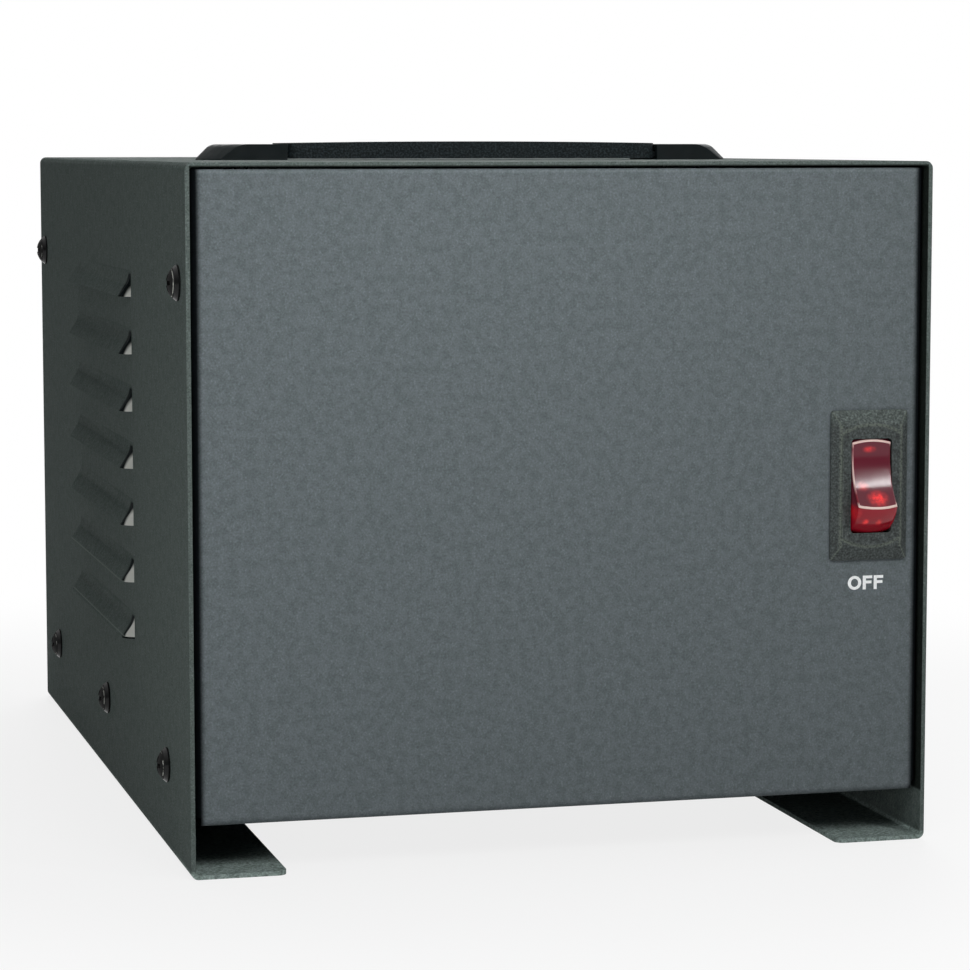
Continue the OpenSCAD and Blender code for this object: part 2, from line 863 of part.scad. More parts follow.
// Three tabs: the outer two end in contact pads, and the strip rocks on the middle one's nose
module switch_terminals() color("#d0b060") {
    tab_end = chamber_back + housing_wall + tab_len;
    nose_y = contact_y + contact_t + nose_gap + nose_r;
    pad_y = chamber_back - contact_pad_h;
    at_pivot() for (i = [-1 : 1]) translate([0, 0, i * tab_pitch]) difference() {
        union() {
            translate([-tab_w / 2, chamber_back - tab_t, -tab_t / 2])
                cube([tab_w, tab_end - chamber_back + tab_t, tab_t]);
            if (i == 0) {
                translate([-contact_w / 2, nose_y, -tab_t / 2])
                    cube([contact_w, chamber_back - nose_y, tab_t]);
                translate([0, nose_y, 0]) along_x(contact_w) circle(nose_r);
            } else {
                translate([0, pad_y, 0]) rotate([-90, 0, 0])
                    cylinder(r = contact_tip_r, h = contact_pad_h);
            }
        }
        translate([0, tab_end - tab_w / 2, 0])
            cylinder(d = tab_hole_d, h = tab_t + 2 * overrun, center = true);
    }
}

// Core
module e_plan(inset) {
    difference() {
        translate([-lam_w / 2 + inset, inset]) square([lam_w - 2 * inset, e_h - 2 * inset]);
        for (side = [-1, 1])
            translate([side * (tongue_w + window_w) / 2, limb_w + window_h / 2 + inset])
                square([window_w, window_h + 2 * inset], center = true);
        core_bolt_holes([core_bolt_inset]);
    }
}

module i_plan(inset) {
    difference() {
        translate([-lam_w / 2 + inset, e_h + inset]) square([lam_w - 2 * inset, limb_w - 2 * inset]);
        core_bolt_holes([core_h - core_bolt_inset]);
    }
}

module core_bolt_holes(heights) {
    for (side = [-1, 1], z = heights)
        translate([side * (lam_w / 2 - core_bolt_inset), z])
            circle(d = core_bolt_d + 2 * core_bolt_clear);
}

// Packs of laminations with a fine groove between each two
module lamination_stack(groove_depth) {
    pitch = stack_d / pack_count;
    translate([0, core_y, core_z]) {
        for (i = [0 : pack_count - 1])
            translate([0, (i + 0.5) * pitch - stack_d / 2, 0]) along_y(pitch - pack_groove) children(0);
        for (i = [1 : pack_count - 1])
            translate([0, i * pitch - stack_d / 2, 0]) along_y(pack_groove) children(1);
    }
}

module core_e_stack() color("#5d5f63") {
    lamination_stack() {
        e_plan(0);
        e_plan(pack_groove / 2);
    }
}

module core_i_stack() color("#66686c") {
    lamination_stack() {
        i_plan(0);
        i_plan(pack_groove / 2);
    }
}

module foot_leg_cut(length) {
    rotate([90, 0, 0]) cylinder(d = core_bolt_d + 2 * core_bolt_clear, h = length, center = true);
}

module core_feet() color("#8d9196") {
    reach = foot_tread + foot_t;
    out_r = foot_fold_r + foot_t;
    translate([0, core_y, floor_top_z]) for (end = [-1, 1]) scale([1, end, 1])
        translate([0, stack_d / 2, 0]) difference() {
            along_x(lam_w) difference() {
                union() {
                    translate([0, out_r]) square([foot_t, foot_leg_h + foot_t - out_r]);
                    translate([out_r, 0]) square([reach - out_r, foot_t]);
                    translate([-stack_d / 2 + foot_t, 0]) square([stack_d / 2 - foot_t + out_r, foot_t]);
                    translate([0, foot_t]) square([foot_t + foot_fold_r, foot_fold_r]);
                }
                translate([out_r, out_r]) circle(foot_fold_r);
            }
            for (side = [-1, 1]) {
                translate([side * (lam_w / 2 - core_bolt_inset), 0, foot_t + core_bolt_inset])
                    foot_leg_cut(4 * foot_t);
                translate([side * floor_bolt_x, foot_t + foot_tread / 2, 0])
                    cylinder(d = floor_bolt_d + 2 * floor_bolt_clear, h = 4 * foot_t, center = true);
            }
        }
}

module core_clamps() color("#8d9196") {
    clamp_h = foot_leg_h;
    translate([0, core_y, core_z + core_h]) for (end = [-1, 1])
        translate([0, end * (stack_d + clamp_t) / 2, 0]) difference() {
            translate([0, 0, -clamp_h]) block([lam_w, clamp_t, clamp_h]);
            for (side = [-1, 1])
                translate([side * (lam_w / 2 - core_bolt_inset), 0, -core_bolt_inset])
                    foot_leg_cut(4 * clamp_t);
        }
}

// Through bolts run from front to rear; the lower pair holds the feet and the upper pair the clamps
module at_core_bolts() {
    for (side = [-1, 1]) {
        translate([side * (lam_w / 2 - core_bolt_inset), core_y, core_z + core_bolt_inset])
            children(0);
        translate([side * (lam_w / 2 - core_bolt_inset), core_y, core_z + core_h - core_bolt_inset])
            children(1);
    }
}

module core_bolt(grip) {
    length = grip + core_nut_h + bolt_tail;
    translate([0, -grip / 2, 0]) rotate([-90, 0, 0]) {
        translate([0, 0, -core_head_h])
            cylinder(d = core_nut_w / cos(30), h = core_head_h, $fn = 6);
        translate([0, 0, -core_head_h / 2]) cylinder(d = core_bolt_d, h = length + core_head_h / 2);
    }
}

module core_bolts() color("#a7abb0") {
    at_core_bolts() {
        core_bolt(stack_d + 2 * foot_t);
        core_bolt(stack_d + 2 * clamp_t);
    }
}

module core_nut(grip) {
    translate([0, grip / 2, 0]) rotate([-90, 0, 0])
        hex_nut(core_nut_w, core_nut_h, core_bolt_d + 2 * thread_gap);
}

module core_nuts() color("#a7abb0") {
    at_core_bolts() {
        core_nut(stack_d + 2 * foot_t);
        core_nut(stack_d + 2 * clamp_t);
    }
}

module at_floor_bolts() {
    bolt_y = stack_d / 2 + foot_t + foot_tread / 2;
    for (side = [-1, 1], end = [-1, 1])
        translate([side * floor_bolt_x, core_y + end * bolt_y, floor_top_z]) children();
}

module floor_bolts() color("#a7abb0") {
    at_floor_bolts() translate([0, 0, -sheet_t]) mirror([0, 0, 1])
        domed_screw(floor_bolt_d, sheet_t + foot_t + core_nut_h + bolt_tail, screw_head_d, floor_head_h);
}

module floor_nuts() color("#a7abb0") {
    at_floor_bolts() translate([0, 0, foot_t])
        hex_nut(core_nut_w, core_nut_h, floor_bolt_d + 2 * thread_gap);
}

// Coil layers: each is a rounded sleeve round the centre limb
module sleeve_plan(inner, outer) {
    corner = layer_gap + fold_r;
    difference() {
        round_rect(tongue_w + 2 * outer, stack_d + 2 * outer, corner + outer);
        round_rect(tongue_w + 2 * inner, stack_d + 2 * inner, corner + inner);
    }
}

bobbin_out = bobbin_gap + bobbin_wall;
primary_in = bobbin_out + layer_gap;
primary_out = primary_in + winding_t;
screen_in = primary_out + layer_gap;
screen_out = screen_in + screen_t;
secondary_in = screen_out + layer_gap;
secondary_out = secondary_in + winding_t;
wrap_in = secondary_out + layer_gap;
wrap_out = wrap_in + wrap_t;
bobbin_h = window_h - 2 * bobbin_gap;
winding_h = bobbin_h - 2 * (bobbin_flange_t + layer_gap);

module at_coil(h) {
    translate([0, core_y, coil_z + (window_h - h) / 2]) children();
}

module bobbin() color("#e8e4d8") {
    at_coil(bobbin_h) {
        linear_extrude(bobbin_h) sleeve_plan(bobbin_gap, bobbin_out);
        for (z = [0, bobbin_h - bobbin_flange_t])
            translate([0, 0, z]) linear_extrude(bobbin_flange_t) sleeve_plan(bobbin_gap, wrap_out);
    }
}

// A sleeve whose outer turns show as rings
module wound_sleeve(inner, outer) {
    turn_h = winding_h / turn_count;
    linear_extrude(winding_h) sleeve_plan(inner, outer - turn_depth);
    for (i = [0 : turn_count - 1]) translate([0, 0, (i + 0.25) * turn_h])
        linear_extrude(turn_h / 2) sleeve_plan(inner + turn_depth, outer);
}

module primary_winding() color("#b5582c") {
    at_coil(winding_h) linear_extrude(winding_h) sleeve_plan(primary_in, primary_out);
}

module copper_screen() color("#cf8148") {
    at_coil(winding_h) linear_extrude(winding_h) sleeve_plan(screen_in, screen_out);
}

module secondary_winding() color("#a84f26") {
    at_coil(winding_h) wound_sleeve(secondary_in, secondary_out);
}

module coil_wrap() color("#e6c84a") {
    wrap_h = winding_h * wrap_h_share;
    at_coil(wrap_h) linear_extrude(wrap_h) sleeve_plan(wrap_in, wrap_out);
}

// Outlets, drawn with the panel's outer face at y = 0 and the openings towards +Y
module at_outlet(i) {
    translate([outlet_xs[i], rear_panel_y, outlet_z]) children();
}

module outlet_faces() {
    for (end = [-1, 1]) translate([0, 0, end * face_pitch / 2]) children();
}

module slot_pocket(x, h) {
    translate([x - slot_w / 2, face_out - slot_depth, slot_rise - h / 2])
        cube([slot_w, slot_depth + overrun, h]);
}

module outlet_body() {
    body_y = -sheet_t - outlet_strap_t;
    difference() {
        union() {
            translate([0, body_y - outlet_depth / 2, 0])
                along_y(outlet_depth) round_rect(outlet_w, outlet_h, outlet_corner_r);
            outlet_faces() translate([0, (face_out + body_y) / 2 - overrun / 2, 0])
                along_y(face_out - body_y + overrun) intersection() {
                    circle(face_r);
                    square([2 * face_r, face_h], center = true);
                }
        }
        outlet_faces() {
            slot_pocket(-slot_pitch / 2, hot_h);
            slot_pocket(slot_pitch / 2, neutral_h);
            translate([0, face_out + overrun, slot_rise - ground_drop]) rotate([90, 0, 0])
                cylinder(r = ground_hole_r, h = slot_depth + overrun);
        }
    }
}

module outlet_left() color("#2a2c2e") {
    at_outlet(0) outlet_body();
}

module outlet_right() color("#2a2c2e") {
    at_outlet(1) outlet_body();
}

// A strap behind the panel that folds round the outlet's back and carries its screws
module outlet_straps() color("#a9adb1") {
    leg_z = outlet_h / 2 + layer_gap;
    back_y = -sheet_t - outlet_strap_t - outlet_depth - layer_gap;
    for (i = [0, 1]) at_outlet(i) difference() {
        along_x(outlet_strap_w) {
            translate([back_y - outlet_strap_t, -leg_z - outlet_strap_t])
                square([outlet_strap_t, 2 * (leg_z + outlet_strap_t)]);
            for (end = [-1, 1]) scale([1, end]) {
                translate([back_y - outlet_strap_t, leg_z])
                    square([-sheet_t - back_y + outlet_strap_t, outlet_strap_t]);
                translate([-sheet_t - outlet_strap_t, leg_z]) square([outlet_strap_t, outlet_ear]);
            }
        }
        for (end = [-1, 1]) translate([0, 0, end * outlet_screw_pitch / 2]) rotate([90, 0, 0])
            cylinder(d = outlet_screw_d + 2 * thread_gap, h = 2 * outlet_depth, center = true);
    }
}

module leaf_pair(x, h) {
    for (side = [-1, 1])
        translate([x + side * (slot_w - clip_leaf_t) / 2 - clip_leaf_t / 2,
                face_out - slot_depth, slot_rise - h / 2])
            cube([clip_leaf_t, contact_depth, h]);
    translate([x - slot_w / 2, face_out - slot_depth, slot_rise - h / 2])
        cube([slot_w, clip_leaf_t, h]);
}

module outlet_contacts() color("#c9a24a") {
    for (i = [0, 1]) at_outlet(i) outlet_faces() {
        leaf_pair(-slot_pitch / 2, hot_h);
        leaf_pair(slot_pitch / 2, neutral_h);
    }
}

module outlet_screws() color("#c4c7ca") {
    for (i = [0, 1], end = [-1, 1]) at_outlet(i) translate([0, 0, end * outlet_screw_pitch / 2])
        rotate([-90, 0, 0])
            domed_screw(outlet_screw_d, outlet_screw_len, outlet_screw_head_d, outlet_screw_head_h);
}

// Breaker, drawn with the panel's outer face at y = 0 and the button towards +Y
module at_breaker() {
    translate([-supply_x, rear_panel_y, breaker_z]) children();
}

module to_rear() {
    rotate([-90, 0, 0]) children();
}

module breaker_body() color("#222426") {
    at_breaker() difference() {
        union() {
            translate([-breaker_w / 2, -sheet_t - breaker_depth, -breaker_h / 2])
                cube([breaker_w, breaker_depth, breaker_h]);
            to_rear() translate([0, 0, -sheet_t - overrun])
                cylinder(r = neck_r, h = sheet_t + overrun + neck_out);
            for (side = [-1, 1]) translate([-tab_w / 2, -sheet_t - breaker_depth - tab_len,
                    side * breaker_h / 4 - tab_t / 2])
                cube([tab_w, tab_len + overrun, tab_t]);
        }
        to_rear() translate([0, 0, -button_stem_len - neck_floor])
            cylinder(r = button_r + button_gap, h = button_stem_len + neck_floor + neck_out + overrun);
    }
}

module breaker_nut() color("#3a3c3e") {
    at_breaker() to_rear() hex_nut(ring_nut_w, ring_nut_h, 2 * (neck_r + thread_gap));
}

module reset_button() color("#a01a1a") {
    at_breaker() to_rear() translate([0, 0, -button_stem_len]) rotate_extrude() {
        square([button_r, button_stem_len + neck_out + button_out - button_edge_r]);
        square([button_r - button_edge_r, button_stem_len + neck_out + button_out]);
        translate([button_r - button_edge_r, button_stem_len + neck_out + button_out - button_edge_r])
            intersection() {
                circle(button_edge_r);
                square(button_edge_r);
            }
    }
}

module cord_bushing() color("#141516") {
    translate([-supply_x, rear_panel_y, bushing_z]) to_rear() difference() {
        rotate_extrude() {
            square([bushing_head_r - bushing_head_t / 2, bushing_head_t]);
            square([bushing_head_r, bushing_head_t / 2]);
            translate([bushing_head_r - bushing_head_t / 2, bushing_head_t / 2]) intersection() {
                circle(bushing_head_t / 2);
                square(bushing_head_t);
            }
            translate([0, -sheet_t - bushing_back_len])
                square([bushing_r, sheet_t + bushing_back_len + bushing_head_t / 2]);
            translate([0, -sheet_t - bushing_gap - bushing_back_t])
                square([bushing_back_r, bushing_back_t]);
        }
        translate([0, 0, -sheet_t - bushing_back_len - overrun])
            cylinder(r = cord_bore_r, h = sheet_t + bushing_back_len + bushing_head_t + 2 * overrun);
        translate([0, 0, -sheet_t - bushing_lead]) cylinder(
            r = cord_bore_r + bushing_mouth, h = sheet_t + bushing_lead + bushing_head_t + overrun);
    }
}

// Filter board
board_z = floor_top_z + board_gap;
board_top_z = board_z + board_t;

module at_board_corners() {
    for (sx = [-1, 1], sy = [-1, 1])
        translate([sx * (board_w / 2 - board_hole_inset), board_y + sy * (board_d / 2 - board_hole_inset),
                floor_top_z])
            children();
}

module filter_board() color("#1f6b3a") {
    difference() {
        translate([0, board_y, board_z]) block([board_w, board_d, board_t]);
        at_board_corners() cylinder(d = board_screw_d + 2 * screw_clear, h = 2 * board_gap + board_t);
    }
}

module board_standoffs() color("#b9bcc0") {
    at_board_corners() {
        cylinder(d = standoff_w / cos(30), h = board_gap, $fn = 6);
        translate([0, 0, -sheet_t]) cylinder(d = board_screw_d, h = sheet_t + board_gap + board_t);
        translate([0, 0, board_gap + board_t]) domed_head(standoff_w, board_head_h);
        translate([0, 0, -sheet_t]) mirror([0, 0, 1]) domed_head(standoff_w, board_head_h);
    }
}

module film_capacitors() color("#c9b13a") {
    for (i = [-1, 1]) translate([board_w / 4, board_y + i * cap_block_pitch / 2, board_top_z])
        linear_extrude(cap_block_h) round_rect(cap_block_w, cap_block_d, cap_block_r);
}

module varistors() color("#2a4fa0") {
    pitch = 2 * varistor_r + varistor_lift;
    for (i = [0 : varistor_count - 1])
        translate([-board_w / 2 + varistor_r + board_hole_inset + i * pitch,
                board_y + board_d / 2 - varistor_inset, board_top_z]) {
            translate([0, 0, varistor_r + varistor_lift]) rotate([90, 0, 0])
                cylinder(r = varistor_r, h = varistor_t, center = true);
            for (side = [-1, 1]) translate([side * varistor_r / 2, 0, 0])
                cylinder(d = lead_d, h = varistor_r);
        }
}

module filter_choke() color("#8a5a2e") {
    translate([-board_w / 4, board_y - board_d / 5, board_top_z + choke_wire_r])
        rotate_extrude() translate([choke_ring_r, 0]) circle(choke_wire_r);
}

module ground_stud() color("#c9a24a") {
    translate([stud_x, stud_y, floor_top_z]) {
        translate([0, 0, -sheet_t]) mirror([0, 0, 1]) domed_head(screw_head_d, floor_head_h);
        translate([0, 0, -sheet_t]) cylinder(d = stud_d, h = stud_len);
        hex_nut(stud_nut_w, stud_nut_h, stud_d);
    }
}

cover();
chassis();
rear_panel();
side_screws();
clinch_nuts();
handle_strap();
handle_end_caps();
handle_screws();
handle_nuts();
switch_housing();
rocker();
rocker_plunger();
neon_lamp();
switch_contact();
switch_terminals();
core_e_stack();
core_i_stack();
core_feet();
core_clamps();
core_bolts();
core_nuts();
floor_bolts();
floor_nuts();
bobbin();
primary_winding();
copper_screen();
secondary_winding();
coil_wrap();
outlet_left();
outlet_right();
outlet_straps();
outlet_contacts();
outlet_screws();
breaker_body();
breaker_nut();
reset_button();
cord_bushing();
filter_board();
board_standoffs();
film_capacitors();
varistors();
filter_choke();
ground_stud();
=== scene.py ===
"""Looks, lights and camera for the isolation transformer. Metres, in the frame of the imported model."""

import json
import math

import bmesh
import bpy
from mathutils import Matrix, Vector

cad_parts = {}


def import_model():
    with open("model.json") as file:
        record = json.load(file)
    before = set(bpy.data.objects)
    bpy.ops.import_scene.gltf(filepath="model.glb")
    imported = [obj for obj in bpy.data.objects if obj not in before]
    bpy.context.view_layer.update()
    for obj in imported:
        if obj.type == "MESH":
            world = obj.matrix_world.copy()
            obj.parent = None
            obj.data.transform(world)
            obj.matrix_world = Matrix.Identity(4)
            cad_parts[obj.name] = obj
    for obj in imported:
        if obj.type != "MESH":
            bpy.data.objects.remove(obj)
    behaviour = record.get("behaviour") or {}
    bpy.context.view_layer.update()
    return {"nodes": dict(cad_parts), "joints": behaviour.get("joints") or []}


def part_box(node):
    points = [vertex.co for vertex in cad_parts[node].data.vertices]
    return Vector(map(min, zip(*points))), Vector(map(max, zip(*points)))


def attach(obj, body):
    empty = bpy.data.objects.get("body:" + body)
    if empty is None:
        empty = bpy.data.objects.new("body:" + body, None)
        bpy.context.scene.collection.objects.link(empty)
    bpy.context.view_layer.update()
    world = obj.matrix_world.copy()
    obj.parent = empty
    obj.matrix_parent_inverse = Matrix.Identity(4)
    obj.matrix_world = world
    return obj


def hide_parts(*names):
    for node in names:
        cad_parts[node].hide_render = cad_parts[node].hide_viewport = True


MM = 0.001


def linear(r, g, b):
    """A colour written as 0 to 255 sRGB values, in linear light."""
    return tuple(((c / 255 + 0.055) / 1.055) ** 2.4 if c > 10 else c / 255 / 12.92 for c in (r, g, b))


# Camera, from the photograph's perspective
CAMERA_AT = (-0.2399, -0.9720, 0.1900)
CAMERA_YAW = 0.2573
CAMERA_PITCH = 0.1042
CAMERA_ROLL = -0.0002
SENSOR_MM = 36.0
LENS_MM = 121.6
CAMERA_CLIP = (0.01, 20.0)

# Stage
BACKDROP = (1.0, 1.0, 1.0)
FLOOR_COLOUR = (0.6, 0.6, 0.6)
FLOOR_ROUGHNESS = 0.7
FLOOR_HALF = 3.0
FLOOR_SHADOW_SHARE = 0.18
FLOOR_SHADOW_REACH = (0.2, 0.42)
WORLD_LIGHT = (0.94, 0.99, 1.0)
WORLD_STRENGTH = 0.06
MIRRORED_HORIZON = 0.15
MIRRORED_WHITE_FROM = 0.8

# Lamps: name, place, aimed at, width and height, watts, colour
LAMPS = [
    ("near", (-0.05, -0.36, 0.27), (-0.04, -0.147, 0.13), (0.14, 0.14), 0.41, (0.98, 0.99, 1.0)),
    ("low", (-0.32, -0.40, 0.06), (-0.08, -0.13, 0.06), (0.1, 0.1), 0.31, (0.98, 0.99, 1.0)),
    ("strip", (0.226, -0.412, 0.278), (0.085, -0.147, 0.1), (0.012, 0.17), 0.38, (1.0, 1.0, 1.0)),
    ("top", (0.0, 0.25, 1.2), (0.0, 0.0, 0.18), (0.8, 0.8), 4.5, (0.97, 0.99, 1.0)),
    ("rear", (0.4, 1.3, 0.8), (0.0, 0.1, 0.1), (0.9, 0.9), 12.0, (1.0, 1.0, 1.0)),
    ("right", (1.3, 0.1, 0.5), (0.1, 0.0, 0.1), (0.8, 0.8), 7.0, (1.0, 1.0, 1.0)),
]

# Sockets of a Mix node that blends colours
MIX_FACTOR, MIX_A, MIX_B, MIX_RESULT = 0, 6, 7, 2

# Noise values between which a colour drifts, and between which a roughness does
MOTTLE_SPAN = (0.35, 0.65)
ROUGHEN_SPAN = (0.3, 0.7)

# Edge radii, in millimetres, of the pieces whose edges show
EDGE_RADII_MM = {
    "cover": 0.45,
    "chassis": 0.15,
    "rear_panel": 0.15,
    "switch_housing": 0.3,
    "handle_end_caps": 0.3,
    "handle_strap": 0.4,
    "outlet_left": 0.3,
    "outlet_right": 0.3,
}
EDGE_SEGMENTS = 3
SHARP_ANGLE = math.radians(32)
WELD_REACH = 1e-6

# Case, in millimetres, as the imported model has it
CASE_HALF_W = 101.5
LOUVRE_LOW_Z = 49.6
LOUVRE_PITCH = 16.2
LOUVRE_HALF_LEN = 55.0
LOUVRE_END_RUN = 4.2

# Powder coat: sizes and heights in millimetres, and gains at four levels of its grain
PAINT_GRAIN_MM = 0.5
PAINT_GRAIN_HEIGHT = 0.12
PAINT_WAVES_MM = 5.0
PAINT_WAVES_HEIGHT = 0.05
PAINT_BLOTCH_MM = 2.6
PAINT_BLOTCH_SPAN = (0.42, 0.62)
PAINT_BLOTCH_GAIN = (0.86, 0.88, 0.86)
PAINT_SHEEN_MM = 2.5
PAINT_ROUGHNESS = (0.72, 0.88)
PAINT_LEVELS = (0.3, 0.48, 0.6, 0.72)
PANEL_SHADES = (0.8, 0.97, 1.05, 1.35)
COVER_SHADES = (0.6, 0.94, 1.1, 1.7)

# Folds of the panels, with painted shade in the side folds and painted light on the top fold: distances in
# from the side flange and down from the top, start and end
FOLD_SHADE = (3.0, 1.2)
FOLD_PAINTED_SHADE = (0.03, 0.035, 0.04)
TOP_FOLD = (1.3, 0.5)
TOP_FOLD_PAINTED_LIGHT = (1.45, 1.45, 1.45)

# Inside of the cover, darkened as painted shade: heights above the bench, and depths below its top and side
INSIDE_FROM = (13.0, 14.0)
INSIDE_TOP = (0.65, 1.1)
INSIDE_SIDE = (1.1, 1.15)
INSIDE_PAINTED_SHADE = (0.12, 0.13, 0.12)

# Dust and painted light on the feet: heights, depths along the case over which the front is painted lighter,
# and dust patches
DUST_AND_LIGHT_HEIGHT = (1.5, 2.6)
PAINTED_LIGHT_DEPTH = (-140.0, -118.0)
DUST_PATCH_MM = 1.2
DUST_PATCHES = (0.35, 0.55)
DUST_AND_PAINTED_LIGHT_GAIN = (1.65, 1.66, 1.66)

# Painted shade and highlights at the front ends of the louvres: distances out of the side, into the end, and
# above the lip
HOOD_OUT = (0.02, 0.1)
LOUVRE_CREASE = (-1.6, 1.2)
LOUVRE_LIP = (0.4, 1.0)
GLINT_START = 1.7
GLINT_HEIGHT = 6.5
GLINT_BLEND = 0.3
CREASE_PAINTED_SHADE = (0.05, 0.06, 0.07)
LIP_PAINTED_HIGHLIGHT = linear(122, 132, 126)
PAINTED_GLINT = linear(216, 217, 210)

# Screw heads, with painted shade in the recess and a painted glint ring: distances out of the side, and
# roughness
SCREW_RECESS = (1.35, 1.5)
SCREW_RING = 1.75
SCREW_RING_W = 0.12
SCREW_RING_PATCH_MM = 1.6
SCREW_RING_PATCHES = (0.44, 0.6)
SCREW_LEAST_ROUGHNESS = 0.1
SCREW_ROUGHNESS_SPREAD = 0.25
RECESS_ROUGHNESS = 0.5
RECESS_PAINTED_SHADE = (0.03, 0.03, 0.03)

# Bezel of the switch, in millimetres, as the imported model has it
BEZEL_W = 21.8
BEZEL_H = 40.7
BEVEL_SIDE = 2.3
BEVEL_END = 3.8
ARCH_R = 16.0

# Finish of the bezel: levels and gains of its grain, the pale lines painted as highlights on its ridges, in
# millimetres, and the painted light on its top bevel.
# The mitre's half width is a share of its bevel
BEZEL_GRAIN_MM = 0.55
BEZEL_SHADES = [(0.32, 0.5), (0.48, 0.95), (0.6, 1.35), (0.7, 2.0)]
BEZEL_RIDGE = 0.75
RIDGE_END = (0.0, 0.3)
MITRE_HALF_W = 0.16
MITRE_START = (-0.2, 0.2)
ARCH_END = (-0.2, 0.1)
RIDGE_GRAIN = (0.25, 0.6)
RIDGE_PAINTED_HIGHLIGHT = linear(100, 107, 99)
TOP_BEVEL_BLEND = 1.0
TOP_BEVEL_PAINTED_LIGHT = (1.5, 1.55, 1.5)

# Rocker, in millimetres about its pivot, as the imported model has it
ROCKER_W = 11.1
ROCKER_R = 14.6
ROCKER_CROWN = 0.8
ROCKER_BACK = 3.0
ROCKER_TILT = math.radians(18.0)
FACE_DEPTH = 8.7
FACE_CURVE_R = 18.8
PIN_R = 1.5
PIN_OUT = 2.0
STEM_R = 2.3
STEM_LEN = 9.0
SHAFT_SEGMENTS = 32
LENS_EDGE_R = 0.4
LENS_STEPS = 24

# Reds of the rocker's barrel and face, the face's darker maroon being painted shade, and the heights in
# millimetres between which one becomes the other
LENS_BARREL_COLOUR = linear(150, 12, 32)
LENS_FACE_PAINTED_SHADE = linear(98, 30, 44)
LENS_FACE = (91.5, 93.5)

# Glows behind the rocker: place and size in millimetres, and strength
LENS_GLOWS = [
    ((84.1, -149.0, 107.7), (2.4, 6.0, 1.3), 0.9),
    ((85.2, -153.0, 94.9), (3.8, 6.0, 2.7), 1.5),
    ((81.6, -152.0, 98.0), (2.4, 6.0, 1.8), 0.9),
    ((81.8, -154.0, 88.4), (1.3, 8.0, 1.2), 1.2),
    ((85.6, -154.0, 88.2), (1.3, 8.0, 1.2), 1.0),
    ((79.5, -150.0, 91.0), (1.4, 8.0, 3.0), 0.25),
]
LENS_GLOW_COLOUR = (0.85, 0.03, 0.02)
LENS_GLOW_STRENGTH = 0.9
LENS_FLICKER_MM = 1.1
LENS_FLICKER = [(0.35, (0.35, 0.35, 0.35)), (0.65, (1.0, 1.0, 1.0))]

# Rim of the rocker: tones from its lowest to its highest point, pale where highlights are painted, and the
# edge turned from the light, darkened as painted shade
LENS_RIM_HIGHLIGHT = linear(222, 190, 184)
LENS_HEIGHTS = (91.0, 111.0)
LENS_EDGE_HIGHLIGHTS = [
    (0.10, (230, 200, 192)), (0.15, (120, 16, 34)), (0.24, (120, 20, 38)), (0.42, (226, 196, 190)),
    (0.66, (206, 160, 158)), (0.84, (150, 80, 88)), (0.93, (228, 196, 188)),
]
LENS_TURNED_X = (88.5, 89.5)
LENS_TURNED_FROM_Z = (93.0, 94.5)
LENS_TURNED_TO_Z = (108.0, 109.5)
LENS_TURNED_COLOUR = linear(96, 20, 34)

# Neon lamp
NEON_GLASS = (1.0, 0.25, 0.08)
NEON_GLOW = (1.0, 0.12, 0.05)
NEON_STRENGTH = 3.0

# Lettering under the switch, in millimetres; the level strokes are thinner than the upright ones
LETTER_CENTRE = (84.4, 71.15)
LETTER_HEIGHT = 3.8
LETTER_STROKE = 0.92
LETTER_LEVEL_SHARE = 0.86
LETTER_GAP = 0.42
LETTER_O_WIDTH = 3.9
LETTER_O_POINTS = 48
LETTER_F_WIDTH = 2.75
LETTER_F_MID_RISE = 0.15
LETTER_F_MID_SHARE = 0.92
LETTER_PROUD = 0.03


def camera():
    data = bpy.data.cameras.new("camera")
    data.sensor_width = SENSOR_MM
    data.lens = LENS_MM
    data.clip_start, data.clip_end = CAMERA_CLIP
    cam = bpy.data.objects.new("camera", data)
    bpy.context.scene.collection.objects.link(cam)
    cy, sy = math.cos(CAMERA_YAW), math.sin(CAMERA_YAW)
    cp, sp = math.cos(CAMERA_PITCH), math.sin(CAMERA_PITCH)
    ahead = Vector((sy * cp, cy * cp, -sp))
    right = Vector((cy, -sy, 0.0))
    up = right.cross(ahead)
    turn = Matrix((right, up, -ahead)).transposed().to_4x4()
    cam.matrix_world = Matrix.Translation(CAMERA_AT) @ turn @ Matrix.Rotation(CAMERA_ROLL, 4, "Z")
    bpy.context.scene.camera = cam


def background(nodes, colour, strength):
    node = nodes.new("ShaderNodeBackground")
    node.inputs["Color"].default_value = (*colour, 1.0)
    node.inputs["Strength"].default_value = strength
    return node


def shown_rays(nodes, links):
    """One for the rays that show the backdrop: straight to the camera, mirrored, or through glass."""
    path = nodes.new("ShaderNodeLightPath")
    total = path.outputs["Is Camera Ray"]
    for name in ("Is Glossy Ray", "Is Transmission Ray"):
        most = nodes.new("ShaderNodeMath")
        most.operation = "MAXIMUM"
        links.new(total, most.inputs[0])
        links.new(path.outputs[name], most.inputs[1])
        total = most.outputs[0]
    return total


def faded(nodes, links, value, start, end, low, high):
    node = nodes.new("ShaderNodeMapRange")
    node.interpolation_type = "SMOOTHSTEP"
    for name, number in (("From Min", start), ("From Max", end), ("To Min", low), ("To Max", high)):
        node.inputs[name].default_value = number
    links.new(value, node.inputs["Value"])
    return node.outputs[0]


def shader_mix(nodes, links, share, first, second):
    node = nodes.new("ShaderNodeMixShader")
    links.new(share, node.inputs["Fac"])
    links.new(first, node.inputs[1])
    links.new(second, node.inputs[2])
    return node.outputs[0]


